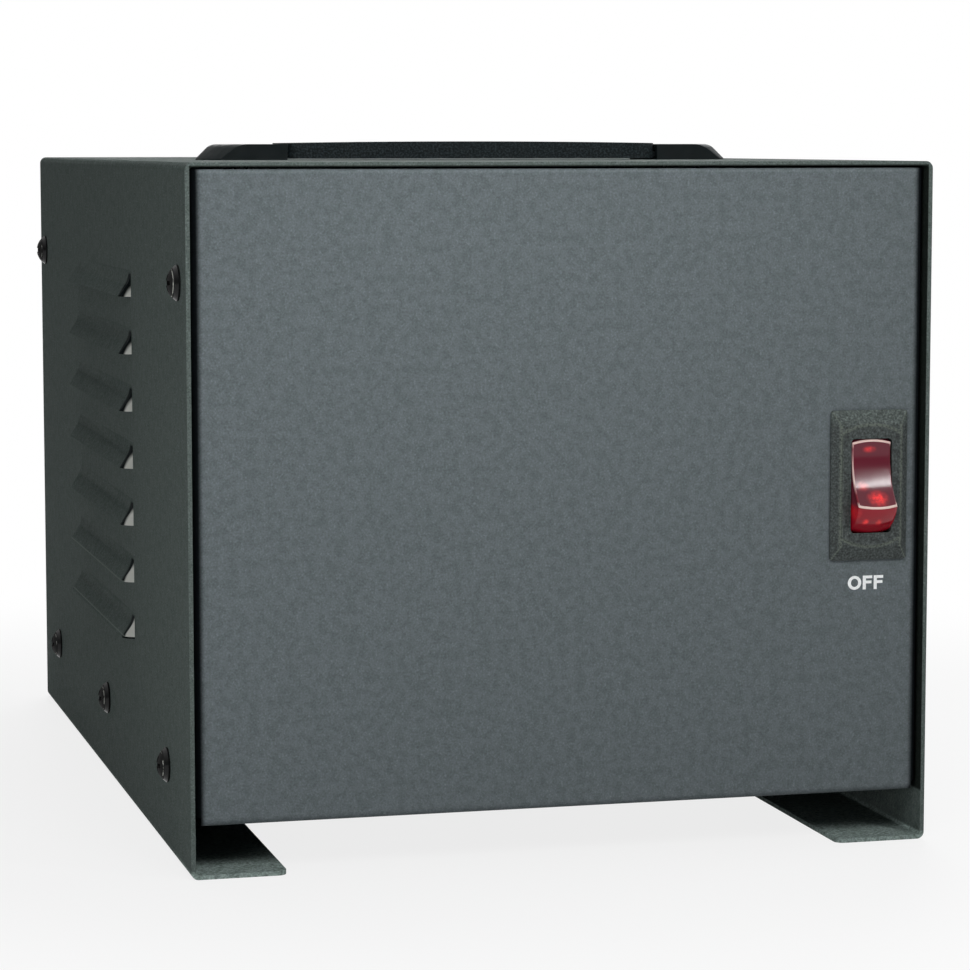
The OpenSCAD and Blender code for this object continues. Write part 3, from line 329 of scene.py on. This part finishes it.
def world():
    """White where it is seen; in reflections it dims from white overhead to a grey horizon."""
    made = bpy.data.worlds.new("studio")
    bpy.context.scene.world = made
    made.use_nodes = True
    nodes, links = made.node_tree.nodes, made.node_tree.links
    nodes.clear()
    path = nodes.new("ShaderNodeLightPath")
    lit = background(nodes, WORLD_LIGHT, WORLD_STRENGTH)
    shown = background(nodes, BACKDROP, 1.0)
    coords, split = nodes.new("ShaderNodeTexCoord"), nodes.new("ShaderNodeSeparateXYZ")
    links.new(coords.outputs["Generated"], split.inputs[0])
    mirrored = faded(nodes, links, split.outputs["Z"], 0.0, MIRRORED_WHITE_FROM, MIRRORED_HORIZON, 1.0)
    strength = nodes.new("ShaderNodeMix")
    links.new(path.outputs["Is Glossy Ray"], strength.inputs["Factor"])
    strength.inputs["A"].default_value = 1.0
    links.new(mirrored, strength.inputs["B"])
    links.new(strength.outputs["Result"], shown.inputs["Strength"])
    whole = shader_mix(nodes, links, shown_rays(nodes, links), lit.outputs[0], shown.outputs[0])
    out = nodes.new("ShaderNodeOutputWorld")
    links.new(whole, out.inputs["Surface"])


def lamps():
    for name, place, aim, (width, height), watts, colour in LAMPS:
        data = bpy.data.lights.new(name, "AREA")
        data.shape = "RECTANGLE"
        data.size, data.size_y, data.energy, data.color = width, height, watts, colour
        lamp = bpy.data.objects.new(name, data)
        bpy.context.scene.collection.objects.link(lamp)
        lamp.location = place
        lamp.visible_camera = False
        lamp.rotation_euler = (Vector(aim) - Vector(place)).to_track_quat("-Z", "Y").to_euler()


def floor_material():
    """White from afar, near the object partly matt so that it takes its shadow, and clear from below."""
    mat = bpy.data.materials.new("floor")
    mat.use_nodes = True
    nodes, links = mat.node_tree.nodes, mat.node_tree.links
    bsdf = nodes["Principled BSDF"]
    bsdf.inputs["Base Color"].default_value = (*FLOOR_COLOUR, 1.0)
    bsdf.inputs["Roughness"].default_value = FLOOR_ROUGHNESS
    glow = nodes.new("ShaderNodeEmission")
    glow.inputs["Color"].default_value = (*BACKDROP, 1.0)
    coords, away = nodes.new("ShaderNodeTexCoord"), nodes.new("ShaderNodeVectorMath")
    away.operation = "LENGTH"
    links.new(coords.outputs["Object"], away.inputs[0])
    near, far = FLOOR_SHADOW_REACH
    white = faded(nodes, links, away.outputs["Value"], near, far, 1.0 - FLOOR_SHADOW_SHARE, 1.0)
    share = nodes.new("ShaderNodeMath")
    share.operation = "MULTIPLY"
    links.new(white, share.inputs[0])
    links.new(shown_rays(nodes, links), share.inputs[1])
    above = shader_mix(nodes, links, share.outputs[0], bsdf.outputs[0], glow.outputs[0])
    facing, clear = nodes.new("ShaderNodeNewGeometry"), nodes.new("ShaderNodeBsdfTransparent")
    whole = shader_mix(nodes, links, facing.outputs["Backfacing"], above, clear.outputs[0])
    links.new(whole, nodes["Material Output"].inputs["Surface"])
    return mat


def floor():
    mesh = bpy.data.meshes.new("floor")
    s = FLOOR_HALF
    mesh.from_pydata([(-s, -s, 0), (s, -s, 0), (s, s, 0), (-s, s, 0)], [], [(0, 1, 2, 3)])
    obj = bpy.data.objects.new("floor", mesh)
    bpy.context.scene.collection.objects.link(obj)
    mesh.materials.append(floor_material())


class Surface:
    """A Principled material whose colour, roughness and bump come from procedural nodes in real sizes."""

    def __init__(self, name, colour, roughness, metallic=0.0, specular=0.5):
        self.mat = bpy.data.materials.new(name)
        self.mat.use_nodes = True
        self.nodes, self.links = self.mat.node_tree.nodes, self.mat.node_tree.links
        self.bsdf = self.nodes["Principled BSDF"]
        self.colour = colour
        self.bsdf.inputs["Base Color"].default_value = (*colour, 1.0)
        self.bsdf.inputs["Roughness"].default_value = roughness
        self.bsdf.inputs["Metallic"].default_value = metallic
        self.bsdf.inputs["Specular IOR Level"].default_value = specular
        coords = self.nodes.new("ShaderNodeTexCoord")
        self.place = coords.outputs["Object"]
        self.normal = None

    def sum(self, operation, first, second=0.0):
        """A Math node between two values, each a number or another node's output."""
        node = self.nodes.new("ShaderNodeMath")
        node.operation = operation
        for socket, value in zip(node.inputs, (first, second)):
            if isinstance(value, float):
                socket.default_value = value
            else:
                self.links.new(value, socket)
        return node.outputs[0]

    def along(self, axis):
        """The place along an axis, in millimetres."""
        split = self.nodes.new("ShaderNodeSeparateXYZ")
        self.links.new(self.place, split.inputs[0])
        return self.sum("MULTIPLY", split.outputs[axis], 1.0 / MM)

    def out_from_middle(self, axis):
        """The distance from the middle along an axis, in millimetres."""
        return self.sum("ABSOLUTE", self.along(axis))

    def rise(self, value, start, end):
        """Zero up to the start, one from the end on, smooth between them."""
        return faded(self.nodes, self.links, value, start, end, 0.0, 1.0)

    def fall(self, value, start, end):
        return self.sum("SUBTRACT", 1.0, self.rise(value, start, end))

    def near(self, value, width):
        """One where the value is zero, falling to zero at the width to either side."""
        return self.fall(self.sum("ABSOLUTE", value), 0.0, width)

    def both(self, first, second):
        return self.sum("MULTIPLY", first, second)

    def distance(self, first, second):
        squares = self.sum("ADD", self.both(first, first), self.both(second, second))
        return self.sum("SQRT", squares)

    def lay(self, mask, colour, way="MIX"):
        """Blends a colour over the base colour where the mask is one."""
        mix = self.nodes.new("ShaderNodeMix")
        mix.data_type = "RGBA"
        mix.blend_type = way
        base = self.bsdf.inputs["Base Color"]
        if base.is_linked:
            self.links.new(base.links[0].from_socket, mix.inputs[MIX_A])
        else:
            mix.inputs[MIX_A].default_value = base.default_value[:]
        mix.inputs[MIX_B].default_value = (*colour, 1.0)
        self.links.new(mask, mix.inputs[MIX_FACTOR])
        self.links.new(mix.outputs[MIX_RESULT], base)
        return self

    def spot(self, place_mm, size_mm):
        """One at a place, falling smoothly to zero at a rounded distance from it."""
        mapping = self.nodes.new("ShaderNodeMapping")
        mapping.vector_type = "TEXTURE"
        mapping.inputs["Location"].default_value = tuple(v * MM for v in place_mm)
        mapping.inputs["Scale"].default_value = tuple(v * MM for v in size_mm)
        length = self.nodes.new("ShaderNodeVectorMath")
        length.operation = "LENGTH"
        self.links.new(self.place, mapping.inputs["Vector"])
        self.links.new(mapping.outputs[0], length.inputs[0])
        return faded(self.nodes, self.links, length.outputs["Value"], 0.0, 1.0, 1.0, 0.0)

    def noise(self, size_mm, detail=2.0, stretch=(1.0, 1.0, 1.0)):
        mapping = self.nodes.new("ShaderNodeMapping")
        mapping.inputs["Scale"].default_value = tuple(1.0 / (size_mm * MM * s) for s in stretch)
        node = self.nodes.new("ShaderNodeTexNoise")
        node.inputs["Scale"].default_value = 1.0
        node.inputs["Detail"].default_value = detail
        self.links.new(self.place, mapping.inputs["Vector"])
        self.links.new(mapping.outputs[0], node.inputs["Vector"])
        return node.outputs["Fac"]

    def wave(self, pitch_mm, axis, distortion=0.0):
        mapping = self.nodes.new("ShaderNodeMapping")
        mapping.inputs["Scale"].default_value = (1.0 / MM,) * 3
        node = self.nodes.new("ShaderNodeTexWave")
        node.wave_type = "BANDS"
        node.bands_direction = axis
        node.inputs["Scale"].default_value = math.pi / (10.0 * pitch_mm)
        node.inputs["Distortion"].default_value = distortion
        self.links.new(self.place, mapping.inputs["Vector"])
        self.links.new(mapping.outputs[0], node.inputs["Vector"])
        return node.outputs["Fac"]

    def ramp(self, value, stops):
        node = self.nodes.new("ShaderNodeValToRGB")
        elements = node.color_ramp.elements
        while len(elements) < len(stops):
            elements.new(0.5)
        for element, (at, colour) in zip(elements, stops):
            element.position = at
            element.color = (*colour, 1.0)
        self.links.new(value, node.inputs["Fac"])
        return node.outputs["Color"]

    def mottle(self, value, spread):
        """Lets the base colour drift by the given share where the texture is low or high."""
        dark = tuple(c * (1 - spread) for c in self.colour)
        light = tuple(min(1.0, c * (1 + spread)) for c in self.colour)
        low, high = MOTTLE_SPAN
        self.links.new(self.ramp(value, [(low, dark), (high, light)]), self.bsdf.inputs["Base Color"])
        return self

    def shades(self, value, stops):
        """The base colour times a factor that follows the texture."""
        colours = [(at, tuple(min(1.0, c * k) for c in self.colour)) for at, k in stops]
        self.links.new(self.ramp(value, colours), self.bsdf.inputs["Base Color"])
        return self

    def roughen(self, value, low, high):
        node = self.nodes.new("ShaderNodeMapRange")
        node.inputs["From Min"].default_value, node.inputs["From Max"].default_value = ROUGHEN_SPAN
        node.inputs["To Min"].default_value, node.inputs["To Max"].default_value = low, high
        self.links.new(value, node.inputs["Value"])
        self.links.new(node.outputs[0], self.bsdf.inputs["Roughness"])
        return self

    def bump(self, value, height_mm):
        node = self.nodes.new("ShaderNodeBump")
        node.inputs["Distance"].default_value = height_mm * MM
        self.links.new(value, node.inputs["Height"])
        if self.normal:
            self.links.new(self.normal, node.inputs["Normal"])
        self.normal = node.outputs[0]
        self.links.new(self.normal, self.bsdf.inputs["Normal"])
        return self


def textured_paint(name, colour, shades):
    """Fine leathery powder coat: small domes, darker between them, with sparse bright flecks."""
    s = Surface(name, colour, sum(PAINT_ROUGHNESS) / 2, specular=0.04)
    grain = s.noise(PAINT_GRAIN_MM, detail=3.0)
    s.shades(grain, list(zip(PAINT_LEVELS, shades)))
    s.lay(s.rise(s.noise(PAINT_BLOTCH_MM, detail=3.0), *PAINT_BLOTCH_SPAN), PAINT_BLOTCH_GAIN, "MULTIPLY")
    s.bump(grain, PAINT_GRAIN_HEIGHT)
    s.bump(s.noise(PAINT_WAVES_MM), PAINT_WAVES_HEIGHT)
    s.roughen(s.noise(PAINT_SHEEN_MM), *PAINT_ROUGHNESS)
    return s


def panel_paint(name, colour, flange_mm, top_mm):
    """The panels' paint, with painted shade in the side folds behind the cover's edges and painted light on
    the top fold.
    """
    s = textured_paint(name, colour, PANEL_SHADES)
    start, end = (flange_mm - inset for inset in FOLD_SHADE)
    # Painted shade: the panel darkens into its side folds, where the cover's edge shades it
    s.lay(s.rise(s.out_from_middle("X"), start, end), FOLD_PAINTED_SHADE, "MULTIPLY")
    start, end = (top_mm - inset for inset in TOP_FOLD)
    # Painted light: the top fold is lightened as if it caught the light
    return s.lay(s.rise(s.along("Z"), start, end), TOP_FOLD_PAINTED_LIGHT, "MULTIPLY").mat


def cover_paint(name, colour, side_mm, top_mm):
    """The cover's paint: painted shade inside, dust and painted light on the feet, and painted shade and
    highlights at the louvres' front ends.
    """
    s = textured_paint(name, colour, COVER_SHADES)
    out, depth, height = s.out_from_middle("X"), s.along("Y"), s.along("Z")
    within_top = s.rise(s.sum("SUBTRACT", top_mm, height), *INSIDE_TOP)
    within_side = s.rise(s.sum("SUBTRACT", side_mm, out), *INSIDE_SIDE)
    inside = s.both(s.rise(height, *INSIDE_FROM), s.both(within_top, within_side))
    # Painted shade over the inside of the cover and the lower edge of its front rim
    s.lay(inside, INSIDE_PAINTED_SHADE, "MULTIPLY")
    low = s.fall(height, *DUST_AND_LIGHT_HEIGHT)
    patches = s.rise(s.noise(DUST_PATCH_MM, detail=3.0), *DUST_PATCHES)
    # Dust patches on the tops of the feet
    s.lay(s.both(low, patches), DUST_AND_PAINTED_LIGHT_GAIN, "MULTIPLY")
    # Painted light: the front of the feet is lightened where light falls in under the case
    s.lay(s.both(low, s.fall(depth, *PAINTED_LIGHT_DEPTH)), DUST_AND_PAINTED_LIGHT_GAIN, "MULTIPLY")
    return louvre_painted_light(s, out, depth, height, side_mm).mat


def louvre_painted_light(s, out, depth, height, side_mm):
    """Painted shade in a crease where each louvre starts at the front, a painted highlight along its lip,
    and a painted glint at its corner.
    """
    start, end = (side_mm + distance for distance in HOOD_OUT)
    hood = s.rise(out, start, end)
    above_lip = s.sum("WRAP", s.sum("SUBTRACT", height, LOUVRE_LOW_Z), LOUVRE_PITCH)
    ahead = s.sum("MULTIPLY", depth, -1.0)
    into_end = s.sum("SUBTRACT", ahead, LOUVRE_HALF_LEN - LOUVRE_END_RUN)
    # Painted shade: a dark crease where the louvre's end turns from the side
    s.lay(s.both(hood, s.rise(into_end, *LOUVRE_CREASE)), CREASE_PAINTED_SHADE, "MULTIPLY")
    # Painted highlight along the louvre's lip
    s.lay(s.both(hood, s.fall(above_lip, *LOUVRE_LIP)), LIP_PAINTED_HIGHLIGHT)
    # Painted glint: a pale triangle at the louvre's front corner
    reach = s.sum("DIVIDE", s.sum("SUBTRACT", into_end, GLINT_START), LOUVRE_END_RUN - GLINT_START)
    corner = s.sum("SUBTRACT", reach, s.sum("DIVIDE", above_lip, GLINT_HEIGHT))
    return s.lay(s.both(hood, s.rise(corner, 0.0, GLINT_BLEND)), PAINTED_GLINT)


def screw_black(name, colour, side_mm):
    """Glossy black screw head with painted shade in its recess and painted glints on a ring around it."""
    s = Surface(name, colour, 0.2, specular=0.22)
    out = s.out_from_middle("X")
    start, end = (side_mm + height for height in SCREW_RECESS)
    s.mottle(s.noise(2.0), 0.1)
    recess = s.rise(out, start, end)
    # Painted shade in the recess
    s.lay(recess, RECESS_PAINTED_SHADE, "MULTIPLY")
    ring = s.near(s.sum("SUBTRACT", out, side_mm + SCREW_RING), SCREW_RING_W)
    patches = s.rise(s.noise(SCREW_RING_PATCH_MM), *SCREW_RING_PATCHES)
    # Painted glints on a ring around the recess
    s.lay(s.both(ring, patches), PAINTED_GLINT)
    s.bump(s.noise(0.6), 0.01)
    polish = s.sum("ADD", s.both(s.noise(1.5), SCREW_ROUGHNESS_SPREAD), SCREW_LEAST_ROUGHNESS)
    rough = s.sum("ADD", polish, s.both(recess, RECESS_ROUGHNESS))
    s.links.new(rough, s.bsdf.inputs["Roughness"])
    return s.mat


def moulded(name, colour, roughness=0.4, grain_mm=0.3, height_mm=0.01, specular=0.5):
    s = Surface(name, colour, roughness, specular=specular)
    s.mottle(s.noise(5.0), 0.08)
    s.bump(s.noise(grain_mm), height_mm)
    return s.roughen(s.noise(3.0), roughness * 0.85, roughness * 1.15).mat


def metal(name, colour, roughness=0.3):
    s = Surface(name, colour, roughness, metallic=1.0)
    s.mottle(s.noise(4.0), 0.08)
    s.bump(s.noise(0.25, stretch=(1.0, 1.0, 8.0)), 0.004)
    return s.roughen(s.noise(1.2), roughness * 0.8, roughness * 1.25).mat


def laminated(name, colour):
    s = Surface(name, colour, 0.5, metallic=0.8)
    sheets = s.wave(0.5, "Y")
    s.mottle(s.noise(2.0, stretch=(6.0, 0.2, 6.0)), 0.25)
    s.bump(sheets, 0.04)
    return s.roughen(s.noise(3.0), 0.4, 0.6).mat


def wound(name, colour, pitch_mm=1.2):
    s = Surface(name, colour, 0.3, metallic=1.0)
    s.mottle(s.noise(3.0, stretch=(4.0, 4.0, 0.4)), 0.12)
    s.bump(s.wave(pitch_mm, "Z", 0.4), 0.25)
    return s.roughen(s.noise(2.0), 0.25, 0.4).mat


def strap_material(name, colour):
    s = Surface(name, colour, 0.7, specular=0.15)
    grain = s.noise(0.6, detail=3.0)
    s.shades(grain, [(0.36, 0.55), (0.5, 1.05), (0.62, 2.3)])
    s.bump(grain, 0.1)
    return s.roughen(s.noise(2.0), 0.6, 0.8).mat


def bezel_ridges(s, pivot):
    """One along the bezel's ridges: beside its side bevels, at its mitred corners, on the frame's arches."""
    across = s.sum("ABSOLUTE", s.sum("SUBTRACT", s.along("X"), pivot.x / MM))
    height = s.sum("ABSOLUTE", s.sum("SUBTRACT", s.along("Z"), pivot.z / MM))
    past_side = s.sum("SUBTRACT", across, BEZEL_W / 2 - BEVEL_SIDE)
    past_end = s.sum("SUBTRACT", height, BEZEL_H / 2 - BEVEL_END)
    ridge = s.both(s.near(past_side, BEZEL_RIDGE), s.fall(past_end, *RIDGE_END))
    turn = s.sum("SUBTRACT", s.sum("DIVIDE", past_side, BEVEL_SIDE), s.sum("DIVIDE", past_end, BEVEL_END))
    mitre = s.both(s.near(turn, MITRE_HALF_W), s.rise(past_side, *MITRE_START))
    arch = s.distance(across, s.sum("SUBTRACT", height, BEZEL_H / 2 - BEVEL_END - ARCH_R))
    past_arch = s.sum("SUBTRACT", arch, ARCH_R)
    frame_edge = s.both(s.near(past_arch, BEZEL_RIDGE), s.fall(past_side, *ARCH_END))
    return s.sum("MAXIMUM", s.sum("MAXIMUM", ridge, mitre), frame_edge)


def bezel_plastic(name, colour, pivot):
    """Spark-eroded plastic: a coarse matt grain with pale flecks, painted light on its top bevel and painted
    highlights along its ridges.
    """
    s = Surface(name, colour, 0.6, specular=0.15)
    grain = s.noise(BEZEL_GRAIN_MM, detail=3.0)
    s.shades(grain, BEZEL_SHADES)
    bevel_z = pivot.z / MM + BEZEL_H / 2 - BEVEL_END
    top_bevel = s.rise(s.along("Z"), bevel_z - TOP_BEVEL_BLEND, bevel_z + TOP_BEVEL_BLEND)
    # Painted light: the top bevel is lighter, as if lit from above
    s.lay(top_bevel, TOP_BEVEL_PAINTED_LIGHT, "MULTIPLY")
    # Painted highlights along the bezel's ridges
    s.lay(s.both(bezel_ridges(s, pivot), s.rise(grain, *RIDGE_GRAIN)), RIDGE_PAINTED_HIGHLIGHT)
    s.bump(grain, 0.12)
    return s.roughen(s.noise(1.5), 0.5, 0.7).mat


def red_lens(name):
    """Clear red plastic, with painted shade making its face maroon, and the lamp's glow behind it in places.
    """
    s = Surface(name, LENS_BARREL_COLOUR, 0.15, specular=0.34)
    # Painted shade: the face is a darker maroon than the barrel's red
    face = s.ramp(s.rise(s.along("Z"), *LENS_FACE), [(0.0, LENS_BARREL_COLOUR), (1.0, LENS_FACE_PAINTED_SHADE)])
    s.links.new(face, s.bsdf.inputs["Base Color"])
    total = None
    for place, size, strength in LENS_GLOWS:
        spot = s.sum("MULTIPLY", s.spot(place, size), strength)
        total = s.sum("ADD", total, spot) if total else spot
    glow = s.sum("MULTIPLY", total, s.ramp(s.noise(LENS_FLICKER_MM), LENS_FLICKER))
    shown = s.ramp(glow, [(0.0, (0.0, 0.0, 0.0)), (1.0, LENS_GLOW_COLOUR)])
    s.links.new(shown, s.bsdf.inputs["Emission Color"])
    s.bsdf.inputs["Emission Strength"].default_value = LENS_GLOW_STRENGTH
    s.bump(s.noise(2.5), 0.01)
    return s.mat


def lens_edge(name):
    """The rim of the rocker's face, pale with painted highlights and darker red between them."""
    s = Surface(name, LENS_RIM_HIGHLIGHT, 0.35, specular=0.4)
    low, high = LENS_HEIGHTS
    up = s.along("Z")
    share = s.sum("DIVIDE", s.sum("SUBTRACT", up, low), high - low)
    # Painted highlights and shade along the rim, by height
    tones = s.ramp(share, [(at, linear(*colour)) for at, colour in LENS_EDGE_HIGHLIGHTS])
    s.links.new(tones, s.bsdf.inputs["Base Color"])
    side_edge = s.both(s.rise(up, *LENS_TURNED_FROM_Z), s.fall(up, *LENS_TURNED_TO_Z))
    # Painted shade on the edge turned from the light
    s.lay(s.both(s.rise(s.along("X"), *LENS_TURNED_X), side_edge), LENS_TURNED_COLOUR)
    s.bump(s.noise(0.8), 0.01)
    return s.mat


def lamp_glow(name):
    s = Surface(name, NEON_GLASS, 0.2)
    s.bsdf.inputs["Emission Color"].default_value = (*NEON_GLOW, 1.0)
    s.bsdf.inputs["Emission Strength"].default_value = NEON_STRENGTH
    s.mottle(s.noise(2.0), 0.1)
    return s.mat


def board_material(name):
    s = Surface(name, linear(24, 92, 48), 0.3)
    s.mottle(s.noise(1.5), 0.12)
    s.bump(s.wave(0.6, "X"), 0.01)
    return s.mat


def paint_everything(frame, pivot):
    steel = metal("zinc_steel", linear(190, 192, 194))
    brass = metal("brass", linear(206, 172, 92), 0.25)
    copper = wound("copper", linear(196, 116, 66))
    core = laminated("core_steel", linear(120, 122, 126))
    outlet = moulded("outlet_plastic", linear(40, 41, 43), 0.35)
    flange_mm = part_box("chassis")[1].x / MM
    side_mm, top_mm = CASE_HALF_W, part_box("cover")[1].z / MM
    panel = panel_paint("panel_paint", linear(102, 109, 112), flange_mm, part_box("chassis")[1].z / MM)
    screw = screw_black("black_screw", linear(12, 13, 14), side_mm)
    looks = {
        "cover": cover_paint("cover_paint", linear(92, 101, 98), side_mm, top_mm),
        "chassis": panel,
        "rear_panel": panel,
        "side_screws": screw,
        "handle_screws": screw,
        "breaker_nut": screw,
        "handle_strap": strap_material("strap_vinyl", linear(28, 35, 37)),
        "handle_end_caps": moulded("cap_plastic", linear(18, 26, 27), 0.6, specular=0.12),
        "switch_housing": bezel_plastic("switch_plastic", linear(64, 69, 68), pivot),
        "rocker": moulded("rocker_core", linear(150, 12, 30), 0.3),
        "neon_lamp": lamp_glow("lamp_glass"),
        "rocker_plunger": brass,
        "switch_terminals": brass,
        "outlet_contacts": brass,
        "ground_stud": brass,
        "switch_contact": metal("contact_copper", linear(196, 116, 66)),
        "core_e_stack": core,
        "core_i_stack": core,
        "bobbin": moulded("nylon", linear(226, 222, 208), 0.45),
        "primary_winding": copper,
        "secondary_winding": copper,
        "filter_choke": wound("choke_wire", linear(176, 96, 52), 0.9),
        "copper_screen": metal("screen_copper", linear(206, 130, 84)),
        "coil_wrap": moulded("coil_wrap", linear(222, 196, 84), 0.3, 1.0, 0.02),
        "outlet_left": outlet,
        "outlet_right": outlet,
        "breaker_body": moulded("breaker_black", linear(34, 35, 37), 0.4),
        "reset_button": moulded("button_red", linear(168, 28, 24), 0.35),
        "cord_bushing": moulded("bushing_nylon", linear(26, 27, 28), 0.45),
        "filter_board": board_material("board_green"),
        "film_capacitors": moulded("film_yellow", linear(206, 176, 66), 0.35),
        "varistors": moulded("varistor_blue", linear(44, 82, 170), 0.4),
    }
    for name, obj in frame["nodes"].items():
        obj.data.materials.clear()
        obj.data.materials.append(looks.get(name, steel))


def soften(frame):
    """Small edge radii, so that the edges catch the light as pressed and moulded ones do."""
    for name, width_mm in EDGE_RADII_MM.items():
        obj = frame["nodes"][name]
        weld = obj.modifiers.new("weld", "WELD")
        weld.merge_threshold = WELD_REACH
        round_edges(obj, width_mm)


def round_edges(obj, width_mm):
    bevel = obj.modifiers.new("edges", "BEVEL")
    bevel.width = width_mm * MM
    bevel.segments = EDGE_SEGMENTS
    bevel.limit_method = "ANGLE"
    bevel.angle_limit = SHARP_ANGLE
    bevel.harden_normals = True
    return bevel


def lens_outline(radius):
    """Side view of the rocker, y and z: its hollowed face, and the barrel behind the two lips."""
    centre = FACE_DEPTH + FACE_CURVE_R
    lip_y = (centre ** 2 + radius ** 2 - FACE_CURVE_R ** 2) / (2 * centre)
    lip_z = math.sqrt(radius ** 2 - lip_y ** 2)
    half_face = math.asin(lip_z / FACE_CURVE_R)
    lip, back = math.atan2(lip_z, lip_y), math.pi - math.acos(ROCKER_BACK / radius)
    shares = [i / LENS_STEPS for i in range(LENS_STEPS + 1)]
    face = [half_face * (1 - 2 * t) for t in shares]
    barrel = [lip + (back - lip) * t for t in shares[1:]]
    points = [(FACE_CURVE_R * math.cos(a) - centre, FACE_CURVE_R * math.sin(a)) for a in face]
    points += [(-radius * math.cos(a), -radius * math.sin(a)) for a in barrel]
    return points + [(-radius * math.cos(a), radius * math.sin(a)) for a in reversed(barrel)]


def rocker_barrel(bm):
    """Crowned barrel with its hollowed face, whose rims are marked to be rounded."""
    rim = bm.edges.layers.float.new("bevel_weight_edge")
    crown_r = (ROCKER_W ** 2 / 4 + ROCKER_CROWN ** 2) / (2 * ROCKER_CROWN)
    rings = []
    for i in range(LENS_STEPS + 1):
        x = ROCKER_W * (i / LENS_STEPS - 0.5)
        radius = ROCKER_R - crown_r + math.sqrt(crown_r ** 2 - x ** 2)
        rings.append([bm.verts.new((x, y, z)) for y, z in lens_outline(radius)])
    count = len(rings[0])
    for left, right in zip(rings, rings[1:]):
        for i in range(count):
            j = (i + 1) % count
            bm.faces.new((left[i], left[j], right[j], right[i]))
        for lip in (0, LENS_STEPS):
            bm.edges.get((left[lip], right[lip]))[rim] = 1.0
    for ring in (rings[0], rings[-1]):
        bm.faces.new(ring)
        for a, b in zip(ring[:LENS_STEPS], ring[1:]):
            bm.edges.get((a, b))[rim] = 1.0


def rocker_shafts(bm):
    """The pins that the rocker turns on, and the stem behind it."""
    for radius, length, turn, reach in (
        (PIN_R, ROCKER_W + 2 * PIN_OUT, Matrix.Rotation(math.pi / 2, 4, "Y"), 0.0),
        (STEM_R, STEM_LEN, Matrix.Rotation(-math.pi / 2, 4, "X"), STEM_LEN / 2),
    ):
        bmesh.ops.create_cone(bm, cap_ends=True, segments=SHAFT_SEGMENTS, radius1=radius, radius2=radius,
                              depth=length, matrix=turn @ Matrix.Translation((0.0, 0.0, reach)))


def rocker_lens(pivot):
    """The whole rocker with rounded edges, in place of the CAD node with its sharp lips."""
    bm = bmesh.new()
    rocker_barrel(bm)
    rocker_shafts(bm)
    bmesh.ops.recalc_face_normals(bm, faces=bm.faces)
    bm.transform(Matrix.Translation(pivot) @ Matrix.Rotation(-ROCKER_TILT, 4, "X") @ Matrix.Scale(MM, 4))
    mesh = bpy.data.meshes.new("rocker_lens")
    for face in bm.faces:
        face.smooth = True
    bm.to_mesh(mesh)
    bm.free()
    obj = bpy.data.objects.new("rocker_lens", mesh)
    bpy.context.scene.collection.objects.link(obj)
    mesh.materials.append(red_lens("rocker_red"))
    mesh.materials.append(lens_edge("rocker_rim"))
    rims = round_edges(obj, LENS_EDGE_R)
    rims.limit_method = "WEIGHT"
    rims.material = 1
    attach(obj, "rocker")
    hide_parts("rocker")


def letter_o(bm, x, y, z):
    """A ring between two rounded outlines."""
    count = LETTER_O_POINTS
    rings = []
    for inset in (0.0, LETTER_STROKE):
        a, b = LETTER_O_WIDTH / 2 - inset, LETTER_HEIGHT / 2 - inset * LETTER_LEVEL_SHARE
        rings.append([
            bm.verts.new(((x + a * math.cos(t)) * MM, y * MM, (z + b * math.sin(t)) * MM))
            for t in (2 * math.pi * i / count for i in range(count))
        ])
    outer, inner = rings
    for i in range(count):
        j = (i + 1) % count
        bm.faces.new((outer[i], outer[j], inner[j], inner[i]))


def letter_f(bm, x, y, z):
    """An upright bar and two arms."""
    w, h, s = LETTER_F_WIDTH, LETTER_HEIGHT, LETTER_STROKE
    low, high = z - h / 2, z + h / 2
    arm = s * LETTER_LEVEL_SHARE
    mid = z + arm * LETTER_F_MID_RISE
    bars = [
        (x, low, x + s, high),
        (x + s, high - arm, x + w, high),
        (x + s, mid - arm / 2, x + w * LETTER_F_MID_SHARE, mid + arm / 2),
    ]
    for x0, z0, x1, z1 in bars:
        corners = ((x0, z0), (x1, z0), (x1, z1), (x0, z1))
        bm.faces.new([bm.verts.new((cx * MM, y * MM, cz * MM)) for cx, cz in corners])


def lettering(panel_y):
    width = LETTER_O_WIDTH + 2 * (LETTER_GAP + LETTER_F_WIDTH)
    x = LETTER_CENTRE[0] - width / 2
    z = LETTER_CENTRE[1]
    y = panel_y / MM - LETTER_PROUD
    bm = bmesh.new()
    letter_o(bm, x + LETTER_O_WIDTH / 2, y, z)
    x += LETTER_O_WIDTH + LETTER_GAP
    letter_f(bm, x, y, z)
    letter_f(bm, x + LETTER_F_WIDTH + LETTER_GAP, y, z)
    mesh = bpy.data.meshes.new("off_letters")
    bmesh.ops.recalc_face_normals(bm, faces=bm.faces)
    bm.to_mesh(mesh)
    bm.free()
    obj = bpy.data.objects.new("off_letters", mesh)
    bpy.context.scene.collection.objects.link(obj)
    ink = Surface("print_white", linear(246, 248, 248), 0.5)
    ink.mottle(ink.noise(0.6), 0.05)
    mesh.materials.append(ink.mat)
    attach(obj, "case")


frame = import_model()
camera()
bpy.context.scene.view_settings.view_transform = "Standard"
world()
floor()
lamps()
pivot = next(Vector(j["pos_m"]) for j in frame["joints"] if j["name"] == "rocker_pivot")
paint_everything(frame, pivot)
soften(frame)
rocker_lens(pivot)
lettering(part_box("chassis")[0].y)
